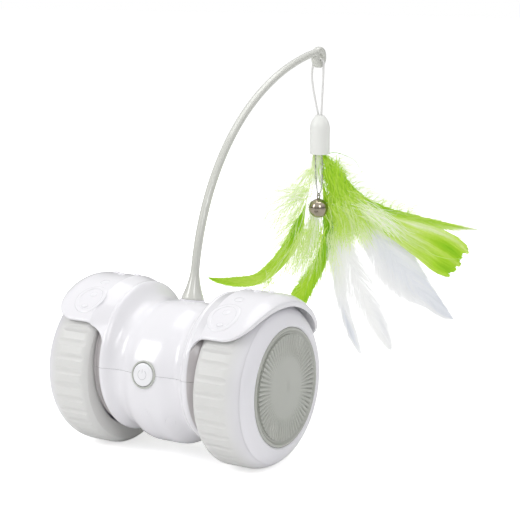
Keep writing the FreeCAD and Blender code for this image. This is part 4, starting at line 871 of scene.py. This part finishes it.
# %% Left green feather
LEFT_GREEN = [(318, 156, 0.6, 0.5, 0.5), (311, 180, 3, 1, 1), (306, 203, 5, 1.5, 3),
              (301.5, 222, 6, 4, 7.5), (294.5, 240, 7, 5.5, 8), (285, 255.5, 8, 5.5, 8),
              (272, 270, 8.5, 5, 7.5), (255, 280.5, 9, 4.5, 6), (235, 282.6, 9, 3.8, 5.4),
              (219, 281, 9, 2.2, 3), (208.5, 277.8, 9, 0.3, 0.4)]


def left_tone(s, across):
    deep = 0.42 * near(s, 0.32, 0.16) * (1 if across > 0 else 0.3)
    edge = (0.16 if across < -0.3 else 0) * near(s, 0.4, 0.4)
    return 0.5 - deep + 0.1 * near(s, 0.7, 0.2) + edge


vane, rng = feather(LEFT_GREEN, 0.22, 1100, left_tone, ragged=0.08, seed=3, start=0.2, stray=0.02)
add_quill(vane, LEFT_GREEN, 0.0, 0.4, 0.6, 0.9)
for t in range(14):
    share = t / 13
    add_hairs(vane, rng, 4, (302 - 14 * share, 206 + 32 * share, 5 + share),
              (272 - 2 * share, 224 + 38 * share, 7), 3, 0.78 - 0.08 * share, 0.2, (1.2, 6))
add_hairs(vane, rng, 26, (270, 276, 8.5), (264, 289, 9), 1, 0.68, 0.3, (5, 3))
finish_vane(vane, "left_green_feather", GREEN, "feather_green", "feather_left_green")

# %% [markdown]
# ## Pale down on the left
# Fine pale down spreads to the left of the stems. It has no quill worth showing, so it is made
# of loose hairs alone, in bundles that fan out to a few goals.

# %% Pale down on the left
vane, rng = [], random.Random(11)
for goal, count, tint in (((256, 176, 0), 6, 0.9), ((214, 186, 0), 6, 0.92),
                          ((214, 218, 1), 8, 0.9), ((226, 228, 1), 7, 0.9),
                          ((236, 206, 0), 9, 0.9), ((250, 234, 1), 11, 0.86),
                          ((256, 250, 2), 12, 0.82), ((264, 210, 0), 11, 0.86)):
    add_hairs(vane, rng, count, (304, 192, -1), goal, rng.uniform(-9, 9), tint, 0.24, (4, 8))
add_hairs(vane, rng, 40, (310, 170, -1), (296, 204, -0.5), -3, 0.84, 0.24, (2.5, 8))
add_hairs(vane, rng, 30, (308, 186, -1), (280, 220, 0), -4, 0.76, 0.2, (3, 11))
add_hairs(vane, rng, 26, (305, 196, 0), (276, 240, 1), -3, 0.72, 0.2, (3, 11))
finish_vane(vane, "left_down", GREEN, "feather_green", "feather_left_down")

# %% [markdown]
# ## Middle green feather
# The middle feather hangs down and bends to the left at its blunt tip. Soft hairs beside it
# widen it where the vane is loose.

# %% Middle green feather
MIDDLE_GREEN = [(319, 156, 1.8, 1, 1), (322, 178, 4, 2.5, 2.5), (326, 200, 6.5, 3.5, 4),
                (328, 220, 8, 4, 4.5), (327, 240, 9, 5, 4.5), (322, 256, 10, 6, 5),
                (314.5, 271, 10, 7.5, 6), (305.5, 286, 10, 8, 7.5), (299, 297, 10, 8.5, 8),
                (294, 306, 10, 5, 4)]


def middle_tone(s, across):
    return 0.47 - 0.32 * near(s, 0.45, 0.28) + 0.12 * near(s, 0.1, 0.2) + 0.05 * across


vane, rng = feather(MIDDLE_GREEN, 0.24, 1200, middle_tone, ragged=0.1, seed=7, start=0.12,
                    stray=0.05)
add_hairs(vane, rng, 70, (312, 222, 4), (301, 270, 8), 1, 0.8, 0.3, (4, 7))
add_hairs(vane, rng, 60, (304, 232, 4), (289, 277, 8), 1, 0.74, 0.28, (4, 7))
add_hairs(vane, rng, 50, (318, 228, 4), (306, 276, 8), 1, 0.66, 0.3, (4, 8))
add_hairs(vane, rng, 70, (316, 208, 4), (313, 246, 6), 1, 0.96, 0.3, (4, 5))
add_hairs(vane, rng, 60, (331, 234, 7), (333, 276, 9), 1, 0.82, 0.24, (3, 8))
finish_vane(vane, "middle_green_feather", GREEN, "feather_green", "feather_middle_green")

# %% [markdown]
# ## Right green feather
# A long feather runs out to the right as a slim spine. At its root it carries a soft mass of
# barbs, which are bundles of hairs that get paler towards the tip. A fine fringe stands up
# along its back.

# %% Right green feather, with the soft mass at its root
RIGHT_GREEN = [(323, 157, 0.7, 1, 1.5), (333, 172, 4, 7, 6), (346, 188, 6.5, 6, 12),
               (364, 201, 8.5, 4, 14), (386, 210, 10, 2.8, 10), (410, 217, 11, 3, 7),
               (432, 222.5, 12, 3, 5), (455, 227, 12, 2.4, 3), (477, 229.6, 12, 0.3, 0.4)]


def right_tone(s, across):
    return 0.44 + 0.3 * s - 0.12 * near(s, 0.42, 0.12) + 0.06 * across + 0.3 * near(s, 1, 0.1)


vane, rng = feather(RIGHT_GREEN, 0.2, 1300, right_tone, ragged=0.16, seed=13, stray=0.05,
                    layers=3)
for u0, v0, u1, v1, count, tint in (
        (330, 166, 336, 216, 150, 0.48), (334, 178, 341, 226, 170, 0.5),
        (339, 186, 350, 230, 170, 0.54), (345, 194, 362, 228, 150, 0.6),
        (352, 200, 376, 226, 130, 0.66), (336, 204, 340, 238, 110, 0.64),
        (342, 204, 351, 242, 110, 0.72), (348, 206, 364, 240, 110, 0.78),
        (356, 206, 386, 230, 110, 0.84), (364, 208, 398, 234, 70, 0.88)):
    add_hairs(vane, rng, count, (u0, v0, 0), (u1, v1, 4), 2, tint, 0.38, (4.5, 6))
for t in range(12):
    share = t / 11
    u, v, back, left, _ = flowing(RIGHT_GREEN, 0.1 + 0.5 * share)
    root = (u, v - left * 0.4, back)
    add_hairs(vane, rng, 8, root, (u + 24 + 8 * share, v - 17 + 11 * share, back), 2, 0.88,
              0.13, (2, 5))
    add_hairs(vane, rng, 12, root, (u + 15, v - 7, back), 2, 0.72, 0.2, (2, 4))
finish_vane(vane, "right_green_feather", GREEN, "feather_green", "feather_right_green")

# %% [markdown]
# ## Green fan
# Below the spine a broad fan ends ragged. Its barbs run along it rather than out from a quill,
# so it is made of strands, few at the root and many towards the end, with one pale quill.

# %% Green fan
FAN = [(325, 160, -2, 1, 1), (338, 190, 0, 6, 6), (356, 208, 1.5, 8, 8),
       (378, 219, 3, 8, 9), (402, 230, 4, 11, 13), (426, 242, 5, 17, 18),
       (446, 254, 6, 20.5, 21), (461, 265, 6, 18, 16.5)]
FAN_QUILL = [(408, 240, 3), (424, 248, 3.4), (434, 255, 3.8), (450.5, 259, 4), (463, 258, 4.2)]


def fan_tone(s, across):
    patch = near(s, 0.86, 0.2) * near(across, -0.3, 0.35)
    patch += near(s, 0.92, 0.14) * near(across, 0.55, 0.45)
    pale = 0.18 * near(s, 0.6, 0.25) + 0.22 * near(across, -0.85, 0.3) * near(s, 0.8, 0.4)
    return 0.56 - 0.42 * min(patch, 1) + pale - 0.16 * near(s, 0.22, 0.2)


vane, rng = [], random.Random(17)
add_strands(vane, rng, FAN, 200, fan_tone, 0.4, (0.1, 0.4), 0.5, 4.2)
add_strands(vane, rng, FAN, 760, fan_tone, 0.42, (0.38, 0.8), 0.45, 4.2)
add_quill(vane, FAN_QUILL, 0, 1, 0.4, 0.74)
finish_vane(vane, "green_fan", GREEN, "feather_green", "feather_fan_green")

# %% [markdown]
# ## The white feathers
# Three undyed feathers hang behind the green ones. Against a white ground they are seen by their
# shade alone, and that shade is painted into their colour as greys: the nearest is a cool grey,
# the others nearly vanish. The same vane is used for all three, with thinner and sparser barbs
# where a feather should vanish.

# %% White feathers
WHITE_UPPER = [(325, 158, -0.7, 1, 1), (338, 186, 3, 4, 4), (354, 211, 5, 8, 7),
               (375, 234, 7, 13, 17), (395, 257, 8.5, 16, 25), (412, 280, 10, 14, 23),
               (430, 300, 11, 9, 9.5), (444, 313, 12, 5, 5), (453, 319, 12, 0.5, 1)]
WHITE_LOWER = [(322, 158, 2.5, 1, 1), (330, 195, 7, 5, 5), (338, 232, 10, 11, 12),
               (352, 268, 13, 14, 18), (366, 300, 14, 14, 15), (380, 328, 15, 10, 10),
               (391, 350, 16, 1, 1)]
WHITE_BACK = [(320, 158, 3.3, 1, 1), (326, 195, 9, 4, 4), (331, 232, 12, 6, 6),
              (337, 266, 15, 7, 7), (342, 297, 16, 5.5, 6), (348, 320, 15.5, 4.5, 5),
              (355, 340, 14, 3.4, 4), (361, 354, 12.5, 0.6, 1)]


# The tones of the white feathers are painted shade: lower values give greyer barbs.
def upper_tone(s, across):
    edge = 0.3 * max(0, -across) ** 0.6 * near(s, 0.45, 0.5) + 0.5 * near(across, 0.9, 0.7)
    return 0.5 + edge - 0.1 * near(s, 0.9, 0.2) + 0.3 * near(s, 0.1, 0.4)


def lower_tone(s, across):
    return 1.0 - 0.3 * near(s, 0.85, 0.25) * near(across, -0.4, 0.5)


def back_tone(s, across):
    return 0.95 - 0.75 * near(s, 0.8, 0.24) * near(across, 0.2, 1)


vane, _ = feather(WHITE_UPPER, 0.28, 1500, upper_tone, ragged=0.1, seed=23, start=0.2,
                  stray=0.03, taper=0.9)
finish_vane(vane, "white_upper_feather", WHITE, "feather_white", "feather_white_upper")
vane, _ = feather(WHITE_LOWER, 0.3, 520, lower_tone, ragged=0.35, seed=29, stray=0.1,
                  width=0.26, start=0.15, taper=1.0)
finish_vane(vane, "white_lower_feather", WHITE, "feather_white", "feather_white_lower")
vane, _ = feather(WHITE_BACK, 0.22, 750, back_tone, ragged=0.16, seed=31, stray=0.04,
                  width=0.4, start=0.15, taper=0.95)
finish_vane(vane, "white_back_feather", WHITE, "feather_white", "feather_white_back")

# %% [markdown]
# ## Stems and curled hairs under the cap
# The quills leave the cap as one pale bundle, with a few long dyed hairs that curl away. The
# bundle is five sheaves of hairs, and the boldest curl is a thin quill of its own.

# %% Stems and curls
vane, rng = [], random.Random(41)
for goal, count, tint in (((311, 184, 4), 34, 0.82), ((316, 186, 4), 26, 0.96),
                          ((321, 186, 4), 26, 0.9), ((326, 181, 4), 34, 0.6),
                          ((330, 176, 4), 34, 0.52)):
    add_hairs(vane, rng, count, (319 + (goal[0] - 319) * 0.5, 155, 3), goal, 1, tint, 0.36,
              (0.9, 2.2))
CURL = [(327, 154.5, -1), (332, 152.6, -2), (338, 153, -3), (347, 156.2, -3), (355.3, 160.8, -3),
        (359.4, 168, -3), (364.2, 177, -3)]
add_quill(vane, CURL, 0, 1, 0.36, 0.1, 5)
for goal, bend in (((394, 156, 4), -7), ((366, 147, 2), -3), ((372, 160, 3), -5),
                   ((343, 148, 1), -2), ((352, 172, 2), -3), ((296, 166, 1), 3)):
    add_hairs(vane, rng, 4, (328, 162, 1), goal, bend, 0.9, 0.13, (2, 3))
add_hairs(vane, rng, 110, (327, 161, 1), (343, 172, 2), -2, 0.58, 0.3, (2.5, 4))
finish_vane(vane, "stems", GREEN, "feather_green")

# %% [markdown]
# ## The string
# The string is one smooth white loop through the wand's eyelet, so it is a curve with a round
# section. Its places are mm from the eyelet's middle, in the plane that it hangs in. A fine
# slanting wave gives it the look of a woven skin.

# %% String
EYE = Vector((0, 131.9814, 184.9843))
STRING = [(1.75, -32.1), (2.55, -16.5), (3.0, -6.0), (3.0, -1.05), (-3.0, -1.05),
          (-3.9, -6.0), (-4.4, -11.0), (-2.6, -21.0), (0.2, -32.1)]


def nurbs(name, places):
    data = bpy.data.curves.new(name, "CURVE")
    data.dimensions = "3D"
    line = data.splines.new("NURBS")
    line.points.add(len(places) - 1)
    for point, place in zip(line.points, places):
        point.co = (*place, 1)
    line.order_u = 3
    line.use_endpoint_u = True
    line.resolution_u = 24
    item = bpy.data.objects.new(name, data)
    scene.collection.objects.link(item)
    return item


string_places = [(EYE + Vector((x, 0, z))) * MM for x, z in STRING]
string = nurbs("string", string_places)
string.data.bevel_depth = 0.6 * MM
string.data.bevel_resolution = 4
string.data.use_fill_caps = True
thread, tree, shader = new_material("string_white", Roughness=0.55, Specular_IOR_Level=0.3,
                                    Base_Color=srgb(236, 236, 234))
where = add(tree, "TexCoord")
weave = add(tree, "TexWave", {"Scale": 900.0, "Distortion": 1.0}, wave_type="BANDS",
            bands_direction="DIAGONAL")
link(tree, where.outputs["Object"], weave.inputs["Vector"])
bump = add(tree, "Bump", {"Strength": 0.4, "Distance": 0.00008})
link(tree, weave.outputs[1], bump.inputs["Height"])
link(tree, bump.outputs[0], shader.inputs["Normal"])
string.data.materials.append(thread)
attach(string, "string")
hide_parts("string_loop")
print("the string hangs from", len(STRING), "places")

# %% [markdown]
# ## The twisted cord
# The bell hangs on a silver cord of two strands twisted about each other. The same kind of
# curve gives its route, which is read off as points at even steps. The two strands wind round
# those points, and each is a grid rolled up into a tube.

# %% Route of the twisted cord
BELL = Vector((0.75, 131.4814, 102.5843))
BELL_CORD = [(1.6, 31.1), (2.5, 24), (2.2, 13), (0.5, 6.95), (-0.5, 6.95), (-1.4, 13),
             (-2.2, 22), (-1.9, 31.1)]
CORD_STEP = 0.12


def read_route(places):
    """Points along the smooth curve through these places."""
    guide = nurbs("guide", places)
    mesh = bpy.data.meshes.new_from_object(guide)
    points = [v.co.copy() for v in mesh.vertices]
    bpy.data.objects.remove(guide)
    bpy.data.meshes.remove(mesh)
    return points


def resampled(points, step):
    """The same line with even steps."""
    out, left = [points[0]], step
    for a, b in zip(points, points[1:]):
        length = (b - a).length
        while length >= left:
            a = a.lerp(b, left / length)
            out.append(a)
            length = (b - a).length
            left = step
        left -= length
    return out


route = resampled(read_route([(BELL + Vector((x, 0, z))) * MM for x, z in BELL_CORD]),
                  CORD_STEP * MM)

# %% Two strands
STRAND_R = 0.2
TWIST = 1.9
SKEW = Vector((0.1, 1, 0.05))


def wound(line, k, turn, radius):
    """A place that far from point k of a line, and turned that far round the line."""
    way = (line[min(k + 1, len(line) - 1)] - line[max(k - 1, 0)]).normalized()
    u = way.cross(SKEW).normalized()
    return line[k] + (u * math.cos(turn) + way.cross(u) * math.sin(turn)) * radius


def add_strand(mesh, line, radius, sides=6):
    """A tube along a line: a grid rolled up about it, closed at its seam."""
    runs = len(line) - 1
    made = bmesh.ops.create_grid(mesh, x_segments=runs, y_segments=sides, size=1)
    for vert in made["verts"]:
        k = round((vert.co.x + 1) / 2 * runs)
        vert.co = wound(line, k, (vert.co.y + 1) * math.pi, radius)
    bmesh.ops.remove_doubles(mesh, verts=made["verts"], dist=radius * 0.05)


mesh = bmesh.new()
for phase in (0, math.pi):
    turns = [phase + 2 * math.pi * k * CORD_STEP / TWIST for k in range(len(route))]
    add_strand(mesh, [wound(route, k, turn, STRAND_R * MM) for k, turn in enumerate(turns)],
               STRAND_R * MM)
bmesh.ops.holes_fill(mesh, edges=mesh.edges)
bmesh.ops.recalc_face_normals(mesh, faces=mesh.faces)

# The silver's colour is noise between dark grey and near white: painted glints and painted shade
# in fine specks along the strands.
silver, tree, shader = new_material("cord_silver", Metallic=0.6, Roughness=0.35)
where = add(tree, "TexCoord")
glint = add(tree, "TexNoise", {"Scale": 1500.0, "Detail": 1.0})
link(tree, where.outputs["Object"], glint.inputs["Vector"])
tone = add(tree, "ValToRGB")
for point, spot, colour in zip(tone.color_ramp.elements, (0.35, 0.6),
                               (srgb(110, 110, 106), srgb(232, 232, 230))):
    point.position = spot
    point.color = colour
link(tree, glint.outputs[0], tone.inputs[0])
link(tree, tone.outputs[0], shader.inputs["Base Color"])
bell_cord = place_piece(mesh, "bell_cord_twisted", silver, "bell", "cord_silver", "bell_cord")
